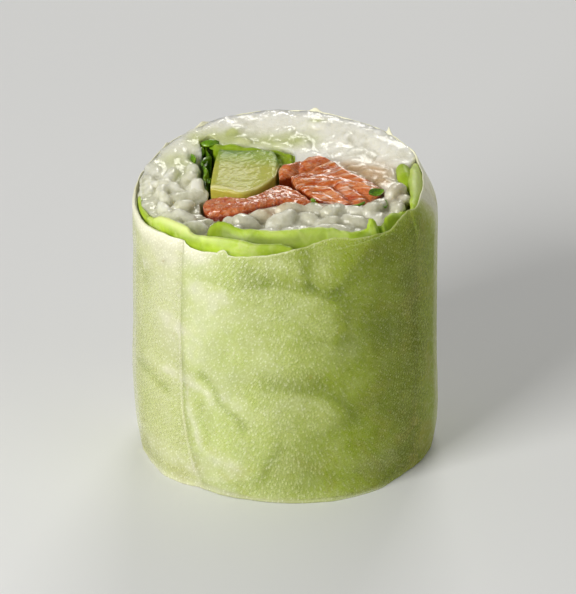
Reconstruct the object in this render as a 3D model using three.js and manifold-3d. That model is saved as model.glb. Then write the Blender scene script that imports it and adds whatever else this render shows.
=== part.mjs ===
// One slice of a rice paper roll, standing on a cut face: a rice paper skin wound once round with a lap,
// lettuce under its front half, sushi rice, and in the middle avocado, salmon, a leaf and a herb sprig.
// Millimetres, +Z up, the origin at the middle of the underside. The front is -Y and angles run from +X.
import * as THREE from "three";
import { mergeVertices } from "three/addons/utils/BufferGeometryUtils.js";
import Module from "manifold-3d";

const wasm = await Module();
wasm.setup();

// ---- driving dimensions ----
const rollRadius = 21.4;
const rollHeight = 39.6; // from cut to cut
const paperThick = 0.45;
const lapGap = 0.12; // between the two layers where the paper laps over itself
const leafThick = 0.7;
const leafFoot = 0.35; // the wall leaves end a little above the ground
const clearance = 0.3; // between pieces that touch
const grainLength = 5.4;
const grainWidth = 2.7;
const topGrains = 318; // tries, of which those that land on rice stay
const underGrains = 140;

const degree = Math.PI / 180;
const wave = (x) => Math.sin(x);

// ---- small helpers ----
const mix = (a, b, t) => a + (b - a) * t;
const smooth = (t) => {
  const c = Math.min(1, Math.max(0, t));
  return c * c * (3 - 2 * c);
};
const past = (t) => Math.max(0, t);

// A value that changes smoothly round the roll, through [angle in degrees, value] knots in rising order.
function around(knots, angle) {
  const turned = ((angle / degree + 180) % 360 + 360) % 360 - 180;
  const next = knots.findIndex((k) => k[0] > turned);
  const after = knots[next < 0 ? 0 : next];
  const before = knots[(next < 0 ? knots.length : next || knots.length) - 1];
  const span = (after[0] - before[0] + 360) % 360;
  return mix(before[1], after[1], smooth(((turned - before[0] + 360) % 360) / span));
}

// The same along an open run from 0 to 1.
function along(knots, t) {
  const next = knots.findIndex((k) => k[0] > t);
  if (next < 0) return knots[knots.length - 1][1];
  if (next === 0) return knots[0][1];
  const [a, b] = [knots[next - 1], knots[next]];
  return mix(a[1], b[1], smooth((t - a[0]) / (b[0] - a[0])));
}

// A smooth open curve in plan through a few [x, y] points.
function planCurve(points) {
  const curve = new THREE.CatmullRomCurve3(points.map(([x, y]) => new THREE.Vector3(x, y, 0)));
  return (t) => curve.getPoint(t);
}

// ---- the outside of the roll ----
// How far the skin draws in at the foot and leans in at the rim, and over what height.
const footTuck = [[-180, 1.5], [-160, 1.1], [-142, 0.6], [-123, 0.9], [-110, 0.4], [-92, -0.1], [-52, -0.1],
  [-40, 0.5], [-25, 0.3], [0, 0.5], [90, 0.6], [150, 0.8]];
const tuckReach = [[-180, 15], [-90, 6.5], [0, 8.5], [90, 6.5]];
const rimLean = [[-180, 0.1], [-150, 0.2], [-125, 0.3], [-95, 0.5], [-60, 1.0], [-30, 1.0], [0, 1.6],
  [15, 1.5], [30, 0.7], [45, 0.1], [90, 0], [150, 0.2]];
const leanReach = [[-180, 5.5], [-90, 6.2], [0, 4.2], [90, 6.2]];
// How far the rim stands over the cut.
const rimRise = [[-180, -1.2], [-158, -1.2], [-145, -0.8], [-128, -1.4], [-110, -0.9], [-92, 0.1], [-70, 0.6],
  [-45, 0.5], [-20, 0.5], [12, 0.4], [35, 0.5], [60, 0.9], [75, 1.1], [90, 1.0], [115, 0.9], [135, 0.2],
  [158, -0.7]];

function skin(angle, z) {
  const round = rollRadius + 0.2 * Math.cos(2 * angle - 0.5) + 0.16 * Math.cos(3 * angle + 1.1);
  const soft = 0.14 * wave(4 * angle + 0.16 * z) + 0.1 * wave(6 * angle - 0.23 * z + 2);
  const tuck = around(footTuck, angle) * past(1 - z / around(tuckReach, angle)) ** 2;
  const lean = around(rimLean, angle) * past(1 - (rollHeight - z) / around(leanReach, angle)) ** 2;
  return round + soft - tuck - lean;
}

// All that is inside drifts a little sideways on its way down, so the underside isn't the top mirrored.
const drift = (z) => [0.7 * wave(0.075 * (rollHeight - z)), -0.5 * wave(0.06 * (rollHeight - z))];

// ---- solids from grids ----
function geometryOf(positions, index) {
  const made = new THREE.BufferGeometry();
  made.setAttribute("position", new THREE.Float32BufferAttribute(positions, 3));
  made.setIndex(index);
  return made;
}

// The same shape with one vertex for each corner, so that its surface is closed.
function closed(geometry) {
  geometry.deleteAttribute("normal");
  geometry.deleteAttribute("uv");
  return mergeVertices(geometry, 1e-4);
}

// A thin sheet of across by up cells: place(u, v, side) gives a point of its outer (0) or inner (1) face.
// Both faces are split into triangles alike.
function sheet(across, up, place) {
  const positions = [];
  const index = [];
  const at = (i, j, side) => (side * (up + 1) + j) * (across + 1) + i;
  for (const side of [0, 1])
    for (let j = 0; j <= up; j++)
      for (let i = 0; i <= across; i++) positions.push(...place(i / across, j / up, side));
  const quad = (a, b, c, d) => index.push(a, b, c, a, c, d);
  for (let j = 0; j < up; j++)
    for (let i = 0; i < across; i++) {
      quad(at(i, j, 0), at(i + 1, j, 0), at(i + 1, j + 1, 0), at(i, j + 1, 0));
      index.push(at(i, j, 1), at(i + 1, j + 1, 1), at(i + 1, j, 1));
      index.push(at(i, j, 1), at(i, j + 1, 1), at(i + 1, j + 1, 1));
    }
  for (let i = 0; i < across; i++) {
    quad(at(i, up, 0), at(i + 1, up, 0), at(i + 1, up, 1), at(i, up, 1));
    quad(at(i + 1, 0, 0), at(i, 0, 0), at(i, 0, 1), at(i + 1, 0, 1));
  }
  for (let j = 0; j < up; j++) {
    quad(at(0, j, 0), at(0, j + 1, 0), at(0, j + 1, 1), at(0, j, 1));
    quad(at(across, j + 1, 0), at(across, j, 0), at(across, j, 1), at(across, j + 1, 1));
  }
  return geometryOf(positions, index);
}

// A closed form from rings of points about an upright line: ringPoint(row, i) gives them from the lowest row
// up, and low and high close it.
function stacked(rows, spokes, ringPoint, low, high) {
  const positions = [...low, ...high];
  const index = [];
  for (let row = 0; row <= rows; row++)
    for (let i = 0; i < spokes; i++) positions.push(...ringPoint(row, i));
  const at = (row, i) => 2 + row * spokes + (i % spokes);
  for (let i = 0; i < spokes; i++) {
    index.push(0, at(0, i + 1), at(0, i));
    index.push(1, at(rows, i), at(rows, i + 1));
    for (let row = 0; row < rows; row++) {
      index.push(at(row, i), at(row, i + 1), at(row + 1, i + 1));
      index.push(at(row, i), at(row + 1, i + 1), at(row + 1, i));
    }
  }
  return geometryOf(positions, index);
}

// A thick piece: a box of cells whose points place(s, t, h) moves, each of them from 0 to 1.
function block(long, wide, high, place) {
  const box = new THREE.BoxGeometry(1, 1, 1, long, wide, high);
  const points = box.getAttribute("position");
  for (let i = 0; i < points.count; i++)
    points.setXYZ(i, ...place(points.getX(i) + 0.5, points.getY(i) + 0.5, points.getZ(i) + 0.5));
  return closed(box);
}

// ---- joining and cutting ----
function solid(geometry) {
  const merged = closed(geometry);
  return new wasm.Manifold(new wasm.Mesh({
    numProp: 3,
    vertProperties: new Float32Array(merged.getAttribute("position").array),
    triVerts: new Uint32Array(merged.index.array),
  }));
}

function largest(shape) {
  return shape.decompose().reduce((a, b) => (b.volume() > a.volume() ? b : a));
}

function geometryFrom(shape) {
  const cut = shape.getMesh();
  return geometryOf(Array.from(cut.vertProperties), Array.from(cut.triVerts));
}

// ---- the rice paper: one sheet, wound from under its own lap, once round, to the seam ----
const lapStart = -186 * degree;
const lapDepth = paperThick + lapGap;
const seamAt = (z) => (227 + 9 * past(1 - z / 16) ** 2) * degree; // the loose edge, which isn't quite upright
const paperFoot = (angle) => 0.1 * (1 + Math.cos(4 * angle + 1));

// How deep the single layer runs under the skin: a layer down beneath the lap, rising past the seam.
function paperDepth(turned) {
  return lapDepth * (1 - smooth((turned + 133 * degree) / (20 * degree)));
}

function ricePaper() {
  return sheet(68, 8, (u, v, side) => {
    const rows = mix(v, smooth(v), 0.45);
    const turned = mix(lapStart, seamAt(rows * rollHeight), u);
    const z = mix(paperFoot(turned), rollHeight + around(rimRise, turned), rows);
    const r = skin(turned, z) - paperDepth(turned) - side * paperThick;
    return [r * Math.cos(turned), r * Math.sin(turned), z];
  });
}

// ---- lettuce ----
// Folds of the leaf, from 0 to 1, that stand in from the paper.
function folds(angle, z) {
  const ripple = wave(5.3 * angle + 0.21 * z) + wave(9.1 * angle - 0.34 * z + 1.7);
  return smooth(0.5 + 0.3 * ripple + 0.2 * wave(0.42 * z + 2 * angle));
}

const underLap = (angle) => lapDepth * around([[-180, 1], [-133, 1], [-112, 0], [168, 0], [173, 1]], angle);
const outerLeafDepth = (angle, z) => paperThick + underLap(angle) + clearance + 0.55 * folds(angle, z);
const innerLeafDepth = (angle, z) =>
  outerLeafDepth(angle, z) + leafThick + clearance + 0.35 * folds(angle + 2, z + 5);

const outerLeafTop = [[0, -2.6], [0.08, -0.6], [0.19, 0.5], [0.3, 1.0], [0.36, 0.5], [0.44, 1.2],
  [0.55, 1.6], [0.66, 0.4], [0.8, -1.8], [1, -2.6]];
const innerLeafTop = [[0, 1.0], [0.12, 1.9], [0.28, 1.5], [0.5, 1.5], [0.62, 1.9], [0.74, 1.1], [0.8, 0.9],
  [0.85, 2.0], [0.9, 0.6], [1, -0.3]];

// A leaf that lies along the wall from one angle to another, with its top edge bent in.
function wallLeaf({ from, to, cells, depth, top, bend, hook }) {
  return sheet(...cells, (u, v, side) => {
    const angle = mix(from, to, u) * degree;
    const z = mix(leafFoot, rollHeight + along(top, u), mix(v, smooth(v), 0.4));
    const bent = bend * past((z - rollHeight + 3.5) / 5) ** 2;
    const r = skin(angle, z) - depth(angle, z) - bent - hook(u, z) - side * leafThick;
    return [r * Math.cos(angle), r * Math.sin(angle), z];
  });
}

// The inner leaf hooks in at its left edge and stands in a sharp fold on the right.
const nearRim = (z) => smooth((z - rollHeight + 7) / 7);
const leftHook = (u) => 2.4 * past(1 - u / 0.13) ** 2;
const rightFold = (u) => 1.1 * past(1 - Math.abs(u - 0.85) / 0.035);

const wallLeaves = {
  lettuce_outer: {
    from: -176,
    to: -38,
    cells: [28, 6],
    depth: outerLeafDepth,
    top: outerLeafTop,
    bend: 0.4,
    hook: () => 0,
  },
  lettuce_inner: {
    from: -124,
    to: -20,
    cells: [32, 6],
    depth: innerLeafDepth,
    top: innerLeafTop,
    bend: 0.9,
    hook: (u, z) => nearRim(z) * (leftHook(u) + rightFold(u)),
  },
};

// On the right a thick rib of the leaf follows the wall and ends in a curled tip.
const sideLeafTop = [[0, -1.5], [0.3, 0.5], [0.7, 1.0], [1, 0.6]];
const sideLeafThick = 1.25;

function lettuceSide() {
  const band = sheet(10, 6, (u, v, side) => {
    const angle = mix(-17, 21, u) * degree;
    const z = mix(leafFoot, rollHeight + along(sideLeafTop, u), mix(v, smooth(v), 0.4));
    const depthHere = paperThick + 0.35 + 0.25 * folds(angle, z) + side * sideLeafThick;
    const r = skin(angle, z) - depthHere - 1.2 * past(u - 0.75);
    return [r * Math.cos(angle), r * Math.sin(angle), z];
  });
  const curl = new THREE.SphereGeometry(1, 8, 6);
  curl.scale(1.0, 1.35, 2.7);
  curl.rotateX(-12 * degree);
  curl.translate(16.7, 5.4, rollHeight - 1.3);
  return geometryFrom(solid(band).add(solid(curl)));
}

// ---- fillings, each between a front and a back edge in plan, as they lie at the upper cut ----
const fillings = {
  avocado: {
    front: [[-10.6, -1.0], [-8.2, -1.7], [-6.0, -2.4], [-3.3, -0.4], [-1.3, 2.2]],
    back: [[-9.2, 10.9], [-5.6, 10.1], [-2.3, 9.6], [-1.0, 7.0]],
    crown: (s, t) => 0.25 - 0.35 * t * t + 0.12 * wave(7 * s + 3 * t),
    cells: [6, 5, 5],
    round: 0.04,
  },
  salmon_strip: {
    front: [[-11.6, -5.4], [-7.3, -5.6], [-3.4, -4.2], [0.2, -3.5], [3.4, -4.4]],
    back: [[-11.5, -2.0], [-8.4, -2.5], [-6.0, -3.1], [-3.3, -1.2], [-0.9, 1.3], [3.8, -3.2]],
    crown: (s, t) => -1.7 + 0.35 * t + 1.1 * smooth(2.2 * s) + 0.12 * wave(11 * s),
    cells: [10, 2, 5],
    round: 0.08,
  },
  salmon_chunk: {
    front: [[0.6, 1.9], [2.3, -0.8], [4.6, -2.8], [8.6, -4.8], [11.3, -4.2], [12.6, -2.6]],
    back: [[1.4, 3.0], [4.0, 4.3], [7.0, 6.0], [9.4, 4.3], [12.2, 2.2], [14.2, -0.9]],
    crown: (s, t) => -0.9 + 1.7 * smooth(t * 1.4) - 0.7 * s * s + 0.25 * wave(8 * s + 5 * t),
    cells: [9, 5, 5],
    round: 0.1,
  },
  salmon_fold: {
    front: [[-0.5, 3.1], [1.2, 3.8], [3.7, 5.1], [6.2, 6.6]],
    back: [[-0.2, 6.3], [1.6, 6.9], [3.3, 8.9], [5.4, 9.0], [7.1, 7.4]],
    crown: (s, t) => 0.1 + 0.4 * wave(3.1 * t) - 0.35 * Math.exp(-(((s - 0.42) / 0.07) ** 2)),
    cells: [8, 3, 5],
    round: 0.1,
  },
};

// One filling as a column through the roll, with rounded corners and edges.
function filling({ front, back, crown, cells, round }) {
  const [frontCurve, backCurve] = [planCurve(front), planCurve(back)];
  return block(...cells, (s, t, h) => {
    const a = mix(s, 0.5, round * (2 * t - 1) ** 2);
    const b = mix(t, 0.5, round * (2 * s - 1) ** 2);
    const [near, far] = [frontCurve(a), backCurve(a)];
    const across = far.clone().sub(near).normalize();
    const point = near.lerp(far, b);
    const edge = Math.max(Math.abs(2 * s - 1), Math.abs(2 * t - 1));
    const z = h * (rollHeight + crown(s, t) - (0.45 * past(edge - 0.6)) / 0.4);
    const [dx, dy] = drift(z);
    const sway = 0.12 * wave(0.5 * z + 4 * s) * (2 * t - 1);
    return [point.x + dx + sway * across.x, point.y + dy + sway * across.y, z];
  });
}

// ---- the leaf behind the avocado and the herb beside it: narrow crinkled sheets through the roll ----
const ribbons = {
  lettuce_back: {
    path: [[-9.9, 12.7], [-7.6, 12.1], [-4.6, 11.6], [-1.6, 11.1], [0.5, 9.9], [0.6, 8.1]],
    thick: 0.8,
    top: (u) => 0.5 + 0.25 * wave(9 * u),
    crinkle: 0.18,
    cells: [11, 5],
  },
  herb_sprig: {
    path: [[-10.3, 14.9], [-11.4, 13.6], [-10.9, 11.2], [-12.2, 9.2], [-11.4, 7.0], [-12.1, 4.6],
      [-11.8, 1.4]],
    thick: 0.75,
    top: (u) => 0.6 - 1.1 * u + 0.4 * wave(17 * u),
    crinkle: 0.15,
    cells: [16, 5],
  },
};

function ribbon({ path, thick, top, crinkle, cells }) {
  const curve = planCurve(path);
  return sheet(...cells, (u, v, side) => {
    const point = curve(u);
    const ahead = curve(Math.min(1, u + 0.01)).sub(curve(Math.max(0, u - 0.01))).normalize();
    const z = v * (rollHeight + top(u));
    const off = crinkle * wave(0.55 * z + 7 * u) + (0.5 - side) * thick;
    const [dx, dy] = drift(z);
    return [point.x + ahead.y * off + dx, point.y - ahead.x * off + dy, z];
  });
}

// ---- rice: a core with the grains of both cut faces fused on, and one pocket that holds the fillings ----
const lining = [[-180, 2.9], [-150, 3.0], [-126, 4.0], [-60, 4.1], [-24, 3.8], [10, 3.0], [26, 3.9],
  [38, 1.1], [90, 0.85], [158, 0.9], [170, 1.5]];
// Near the rim the rice also gives way to the inner leaf's hook and to the curled tip.
const rimRoom = [[-146, 0], [-134, 1.5], [-116, 1.9], [-104, 0], [-2, 0], [9, 1.9], [25, 2.2], [36, 0]];
const riceEdge = (angle, z) => skin(angle, z) - around(lining, angle) - nearRim(z) * around(rimRoom, angle);
const riceTop = (x, y) =>
  rollHeight - 1.1 + 0.07 * y + 0.2 * smooth((y - 8) / 9) + 0.2 * wave(0.9 * x + 0.5 * y);
const coreFoot = 0.55;

function riceCore(spokes = 36, rings = 4, storeys = 4) {
  const ringPoint = (row, i) => {
    const angle = (i / spokes) * 2 * Math.PI;
    const inward = past(row - storeys) / rings;
    const level = Math.min(1, row / storeys);
    const bump = 0.18 * wave(17 * angle + 2.1 * row);
    const edge = (riceEdge(angle, mix(coreFoot, rollHeight - 1, level)) - 0.25 + bump) * (1 - inward);
    const [x, y] = [edge * Math.cos(angle), edge * Math.sin(angle)];
    return [x, y, mix(coreFoot, riceTop(x, y), level)];
  };
  return stacked(storeys + rings - 1, spokes, ringPoint, [0, 0, coreFoot], [0, 0, riceTop(0, 0)]);
}

// The outlines of all the fillings in plan, as short straight runs [ax, ay, bx, by].
function outlineRuns({ front, back, path, thick, crinkle }) {
  const steps = Array.from({ length: 25 }, (_, i) => i / 24);
  let lines;
  if (path) {
    const points = steps.map(planCurve(path));
    const shifted = (side) => points.map((p, i) => {
      const [a, b] = [points[Math.max(0, i - 1)], points[Math.min(points.length - 1, i + 1)]];
      const run = b.clone().sub(a).normalize();
      return new THREE.Vector3(p.x + run.y * side * thick, p.y - run.x * side * thick, 0);
    });
    lines = [shifted(0.5 + crinkle / thick), shifted(-0.5 - crinkle / thick)];
  } else lines = [steps.map(planCurve(front)), steps.map(planCurve(back))];
  const ring = [...lines[0], ...lines[1].reverse()];
  return ring.map((p, i) => [p.x, p.y, ring[(i + 1) % ring.length].x, ring[(i + 1) % ring.length].y]);
}

const fillingRuns = [...Object.values(fillings), ...Object.values(ribbons)].flatMap(outlineRuns);
const pocketCentre = [0, 2];
const pocketGap = 0.6; // the clearance and the waviness of the fillings

// How far the fillings reach from the pocket's centre at an angle.
function fillingReach(angle) {
  const [dx, dy] = [Math.cos(angle), Math.sin(angle)];
  let far = 0;
  for (const [ax, ay, bx, by] of fillingRuns) {
    const [ex, ey] = [bx - ax, by - ay];
    const cross = dx * ey - dy * ex;
    const [px, py] = [ax - pocketCentre[0], ay - pocketCentre[1]];
    const t = (px * ey - py * ex) / cross;
    const u = (px * dy - py * dx) / cross;
    if (t > far && u >= 0 && u <= 1) far = t;
  }
  return far;
}

const pocketSides = 40;
const pocketReach = Array.from({ length: pocketSides }, (_, i) => {
  const angles = Array.from({ length: 13 }, (_, k) => ((i + (k - 6) / 11) / pocketSides) * 2 * Math.PI);
  return Math.max(...angles.map(fillingReach)) + pocketGap;
});

function pocket(levels = 4) {
  const [cx, cy] = pocketCentre;
  const at = (row, reach, angle) => {
    const z = mix(-1, rollHeight + 4, row / levels);
    const [dx, dy] = drift(z);
    return [cx + dx + reach * Math.cos(angle), cy + dy + reach * Math.sin(angle), z];
  };
  const ringPoint = (row, i) => at(row, pocketReach[i], (i / pocketSides) * 2 * Math.PI);
  return stacked(levels, pocketSides, ringPoint, at(0, 0, 0), at(levels, 0, 0));
}

function pocketRoom(x, y) {
  const [px, py] = [x - pocketCentre[0], y - pocketCentre[1]];
  const turn = ((Math.atan2(py, px) / (2 * Math.PI)) * pocketSides + pocketSides) % pocketSides;
  const [low, high] = [pocketReach[Math.floor(turn)], pocketReach[Math.ceil(turn) % pocketSides]];
  return Math.hypot(px, py) - mix(low, high, turn % 1);
}

// Evenly spread places over the roll's square, the same on every run.
const spread = (n) => [(0.5 + n * 0.7548776662) % 1, (0.5 + n * 0.569840291) % 1];

// A grain of rice; one near the wall lies along it.
function grain(x, y, z, n) {
  const size = 0.88 + 0.22 * spread(n * 3 + 1)[0];
  const made = new THREE.SphereGeometry(0.5, 5, 4);
  made.scale(grainWidth * size, grainLength * size, grainWidth * size);
  made.rotateX((spread(n * 7 + 2)[1] - 0.4) * 1.5);
  const angle = Math.atan2(y, x);
  const byWall = smooth((Math.hypot(x, y) - riceEdge(angle, z) + 4.6) / 2);
  made.rotateZ(mix(angle + (spread(n * 5 + 3)[0] - 0.5) * Math.PI, angle, byWall));
  made.translate(x, y, z);
  return made;
}

function placedGrains(tries, zAt) {
  const made = [];
  for (let n = 0; n < tries; n++) {
    const [x, y] = spread(n).map((q) => (2 * q - 1) * rollRadius);
    const z = zAt(x, y);
    const room = riceEdge(Math.atan2(y, x), z) - Math.hypot(x, y);
    if (room > grainWidth / 2 + 0.15 && pocketRoom(x, y) > 0.7) made.push(solid(grain(x, y, z, n)));
  }
  return made;
}

function riceBody() {
  const upper = placedGrains(topGrains, (x, y) => riceTop(x, y) - 0.15);
  const lower = placedGrains(underGrains, () => 0.75);
  const heap = [solid(riceCore()), ...upper, ...lower].reduce((a, b) => a.add(b));
  const room = new THREE.BoxGeometry(60, 60, 60).translate(0, 0, 30);
  return geometryFrom(largest(heap.subtract(solid(pocket())).intersect(solid(room))));
}

// ---- herb leaflets that stick to the salmon and to the rice ----
function leaflet(long, wide, at, yaw, tilt) {
  const made = new THREE.SphereGeometry(0.5, 6, 4);
  made.scale(long, wide, 0.55);
  made.rotateY(tilt * degree);
  made.rotateZ(yaw * degree);
  made.translate(...at);
  return solid(made);
}

const withLeaflets = (shape, leaflets) => geometryFrom(leaflets.reduce((a, b) => a.add(b), solid(shape)));
const onSalmon = [leaflet(2.3, 1.3, [12.6, -1.6, rollHeight - 0.35], 35, 8)];
const onRice = [
  leaflet(2.2, 0.8, [3.8, -5.2, rollHeight - 0.9], 80, -35),
  leaflet(2.4, 1.1, [9.6, -7.4, rollHeight - 1.1], 15, 10),
];

// ---- materials ----
const finish = (color, roughness) => new THREE.MeshStandardMaterial({ color, roughness, metalness: 0 });
const leafGreen = finish(0x9cc84a, 0.45);
const salmonOrange = finish(0xd4642f, 0.35);
const materials = {
  rice_paper: new THREE.MeshStandardMaterial({
    color: 0xc3cf86,
    roughness: 0.5,
    transparent: true,
    opacity: 0.7,
  }),
  lettuce_outer: leafGreen,
  lettuce_inner: leafGreen,
  lettuce_side: leafGreen,
  lettuce_back: finish(0x7ba53a, 0.45),
  herb_sprig: finish(0x2f6a1c, 0.4),
  avocado: finish(0xc2cf6e, 0.5),
  salmon_strip: salmonOrange,
  salmon_chunk: salmonOrange,
  salmon_fold: salmonOrange,
  rice: finish(0xe6e6d6, 0.4),
};

// ---- the slice ----
const shapes = {
  rice_paper: ricePaper(),
  lettuce_side: lettuceSide(),
  rice: riceBody(),
};
for (const [name, leaf] of Object.entries(wallLeaves)) shapes[name] = wallLeaf(leaf);
for (const [name, piece] of Object.entries(fillings)) shapes[name] = filling(piece);
for (const [name, piece] of Object.entries(ribbons)) shapes[name] = ribbon(piece);
shapes.salmon_chunk = withLeaflets(shapes.salmon_chunk, onSalmon);
shapes.rice = withLeaflets(shapes.rice, onRice);

const slice = new THREE.Group();
for (const [name, shape] of Object.entries(shapes)) {
  const mesh = new THREE.Mesh(shape, materials[name]);
  mesh.name = name;
  slice.add(mesh);
}

export default slice;
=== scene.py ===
# Sliced rice paper roll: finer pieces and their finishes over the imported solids.
# Lengths are millimetres here, and makeMesh turns them into metres. The front is -Y.
import math

import bpy
import numpy as np
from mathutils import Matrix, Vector
from mathutils.kdtree import KDTree


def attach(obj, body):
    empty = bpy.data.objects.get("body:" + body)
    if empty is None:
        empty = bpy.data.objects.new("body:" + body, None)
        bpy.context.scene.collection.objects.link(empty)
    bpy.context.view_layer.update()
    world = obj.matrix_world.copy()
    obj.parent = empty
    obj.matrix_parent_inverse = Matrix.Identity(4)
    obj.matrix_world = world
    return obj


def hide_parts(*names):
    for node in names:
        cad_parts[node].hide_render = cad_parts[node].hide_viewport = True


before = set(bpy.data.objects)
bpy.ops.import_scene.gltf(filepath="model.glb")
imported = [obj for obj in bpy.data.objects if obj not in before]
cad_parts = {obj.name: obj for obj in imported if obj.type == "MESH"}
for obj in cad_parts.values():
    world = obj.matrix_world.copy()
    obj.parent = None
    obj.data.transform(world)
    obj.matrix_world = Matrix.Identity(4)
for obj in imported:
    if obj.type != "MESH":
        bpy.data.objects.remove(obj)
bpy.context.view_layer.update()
print("loaded", len(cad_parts), "nodes")

roll = {
    "radius": 21.4,
    "height": 39.6,  # from cut to cut
    "wall": 20,  # about how far out the leaves and the wall's grains lie
    "footTuck": [(-180, 1.5), (-160, 1.1), (-142, 0.6), (-123, 0.9), (-110, 0.4), (-92, -0.1), (-52, -0.1),
                 (-40, 0.5), (-25, 0.3), (0, 0.5), (90, 0.6), (150, 0.8)],
    "tuckReach": [(-180, 15), (-90, 6.5), (0, 8.5), (90, 6.5)],
    "rimLean": [(-180, 0.1), (-150, 0.2), (-125, 0.3), (-95, 0.5), (-60, 1.0), (-30, 1.0), (0, 1.6), (15, 1.5),
                (30, 0.7), (45, 0.1), (90, 0), (150, 0.2)],
    "leanReach": [(-180, 5.5), (-90, 6.2), (0, 4.2), (90, 6.2)],
    "rimRise": [(-180, -1.2), (-158, -1.2), (-145, -0.8), (-128, -1.4), (-110, -0.9), (-92, 0.1), (-70, 0.6),
                (-45, 0.5), (-20, 0.5), (12, 0.4), (35, 0.5), (60, 0.9), (75, 1.1), (90, 1.0), (115, 0.9),
                (135, 0.2), (158, -0.7)],
    "dents": 0.13,  # how deep the soft hollows of the skin are
    # the paper's torn front edge, in more places than rimRise has
    "frontRim": [
        (-160, -1.3), (-149, -1.0), (-144, -0.7), (-133, -0.6), (-131.7, -1.08), (-129.8, -1.4), (-124, -1.3),
        (-117.4, -0.9), (-116.2, -0.45), (-114.2, -0.15), (-113.3, -0.3), (-112.4, -0.84), (-109.5, -0.89),
        (-105.5, -0.68), (-101.5, -0.46), (-97.6, -0.21), (-93.7, 0.0), (-89.8, 0.38), (-85.8, 0.7),
        (-81.8, 0.85), (-77.8, 1.3), (-73.6, 1.5), (-69.3, 1.45), (-64.9, 1.2), (-60.4, 0.84), (-55.8, 0.64),
        (-50.8, 0.48), (-45.5, 0.3), (-42, 0.25), (-39.6, 0.5), (-36.3, 0.8), (-32.7, 1.05), (-28.7, 1.05),
        (-22, 0.5),
    ],
}
top = roll["height"]


# small helpers, for numbers and for arrays
def mix(a, b, t):
    return a + (b - a) * t


def smooth(t):
    t = np.clip(t, 0, 1)
    return t * t * (3 - 2 * t)


def past(t):
    return np.maximum(t, 0)


def bump(x, middle, width):
    return np.exp(-(((x - middle) / width) ** 2))


def spot(x, y, at, width, stretch=(1, 1)):
    # a soft patch about a point
    return bump(np.hypot((x - at[0]) * stretch[0], (y - at[1]) * stretch[1]), 0, width)


def wrapped(degrees):
    return (degrees + 180) % 360 - 180


def wallPoint(angle):
    # where the uneven fields that run round the wall are read
    return roll["wall"] * np.cos(angle), roll["wall"] * np.sin(angle)


def around(knots, angle):
    where, value = np.array(knots, float).T
    turned = wrapped(np.degrees(angle))
    after = np.searchsorted(where, turned, side="right") % len(where)
    before = after - 1
    span = (where[after] - where[before]) % 360
    return mix(value[before], value[after], smooth(((turned - where[before]) % 360) / span))


def along(knots, t):
    where, value = np.array(knots, float).T
    after = np.clip(np.searchsorted(where, t, side="right"), 1, len(where) - 1)
    before = after - 1
    return mix(value[before], value[after], smooth((t - where[before]) / (where[after] - where[before])))


lattice = np.random.default_rng(11).random((32, 32, 32))


def cloud(x, y, z, size, shift=0.0):
    # a smooth uneven field from -1 to 1 with lumps of about that size
    cells, parts = [], []
    for c, k in zip((x, y, z), (1.7, 3.1, 5.3)):
        q = np.asarray(c, float) / size + shift * k + 100
        cells.append(np.floor(q).astype(int))
        parts.append(smooth(q - np.floor(q)))
    total = 0
    for i in (0, 1):
        for j in (0, 1):
            for k in (0, 1):
                weight = 1
                for side, part in zip((i, j, k), parts):
                    weight = weight * (part if side else 1 - part)
                total = total + weight * lattice[tuple((c + side) % 32 for c, side in zip(cells, (i, j, k)))]
    return 2 * total - 1


def planCurve(points):
    # a smooth open curve in plan through a few points, as three.js draws it
    p = np.array(points, float)
    p = np.vstack([2 * p[0] - p[1], p, 2 * p[-1] - p[-2]])
    gaps = np.maximum(((p[1:] - p[:-1]) ** 2).sum(1) ** 0.25, 1e-4)

    def at(t):
        t = np.clip(np.asarray(t, float), 0, 1) * (len(points) - 1)
        i = np.minimum(np.floor(t).astype(int), len(points) - 2)
        w = (t - i)[..., None]
        a, b, c, d = p[i], p[i + 1], p[i + 2], p[i + 3]
        ga, gb, gc = (gaps[i + k][..., None] for k in range(3))
        start = ((b - a) / ga - (c - a) / (ga + gb) + (c - b) / gb) * gb
        end = ((c - b) / gb - (d - b) / (gb + gc) + (d - c) / gc) * gb
        return b + start * w + (3 * (c - b) - 2 * start - end) * w**2 + (2 * (b - c) + start + end) * w**3

    return at


def skin(angle, z):
    # the outside of the roll, in mm from its middle
    r = roll["radius"] + 0.2 * np.cos(2 * angle - 0.5) + 0.16 * np.cos(3 * angle + 1.1)
    r = r + 0.14 * np.sin(4 * angle + 0.16 * z) + 0.1 * np.sin(6 * angle - 0.23 * z + 2)
    r = r - around(roll["footTuck"], angle) * past(1 - z / around(roll["tuckReach"], angle)) ** 2
    r = r - around(roll["rimLean"], angle) * past(1 - (top - z) / around(roll["leanReach"], angle)) ** 2
    x, y = wallPoint(angle)
    return r + roll["dents"] * (cloud(x, y, z, 8.5) + 0.5 * cloud(x, y, z, 3.6, 2)) * smooth(z / 4)


def fromLine(start, end, x, y):
    # how far a straight piece of line is
    (ax, ay), (bx, by) = start, end
    t = np.clip(((x - ax) * (bx - ax) + (y - ay) * (by - ay)) / ((bx - ax) ** 2 + (by - ay) ** 2), 0, 1)
    return np.hypot(x - ax - t * (bx - ax), y - ay - t * (by - ay))


def strokes(lines, x, y):
    # soft lines, each with its width and strength and then the points it runs through
    total = 0 * x
    for width, strength, *points in lines:
        away = np.full(np.shape(x), 1e9)
        for start, end in zip(points, points[1:]):
            away = np.minimum(away, fromLine(start, end, x, y))
        total = total + strength * np.exp(-((away / width) ** 2))
    return total


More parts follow.
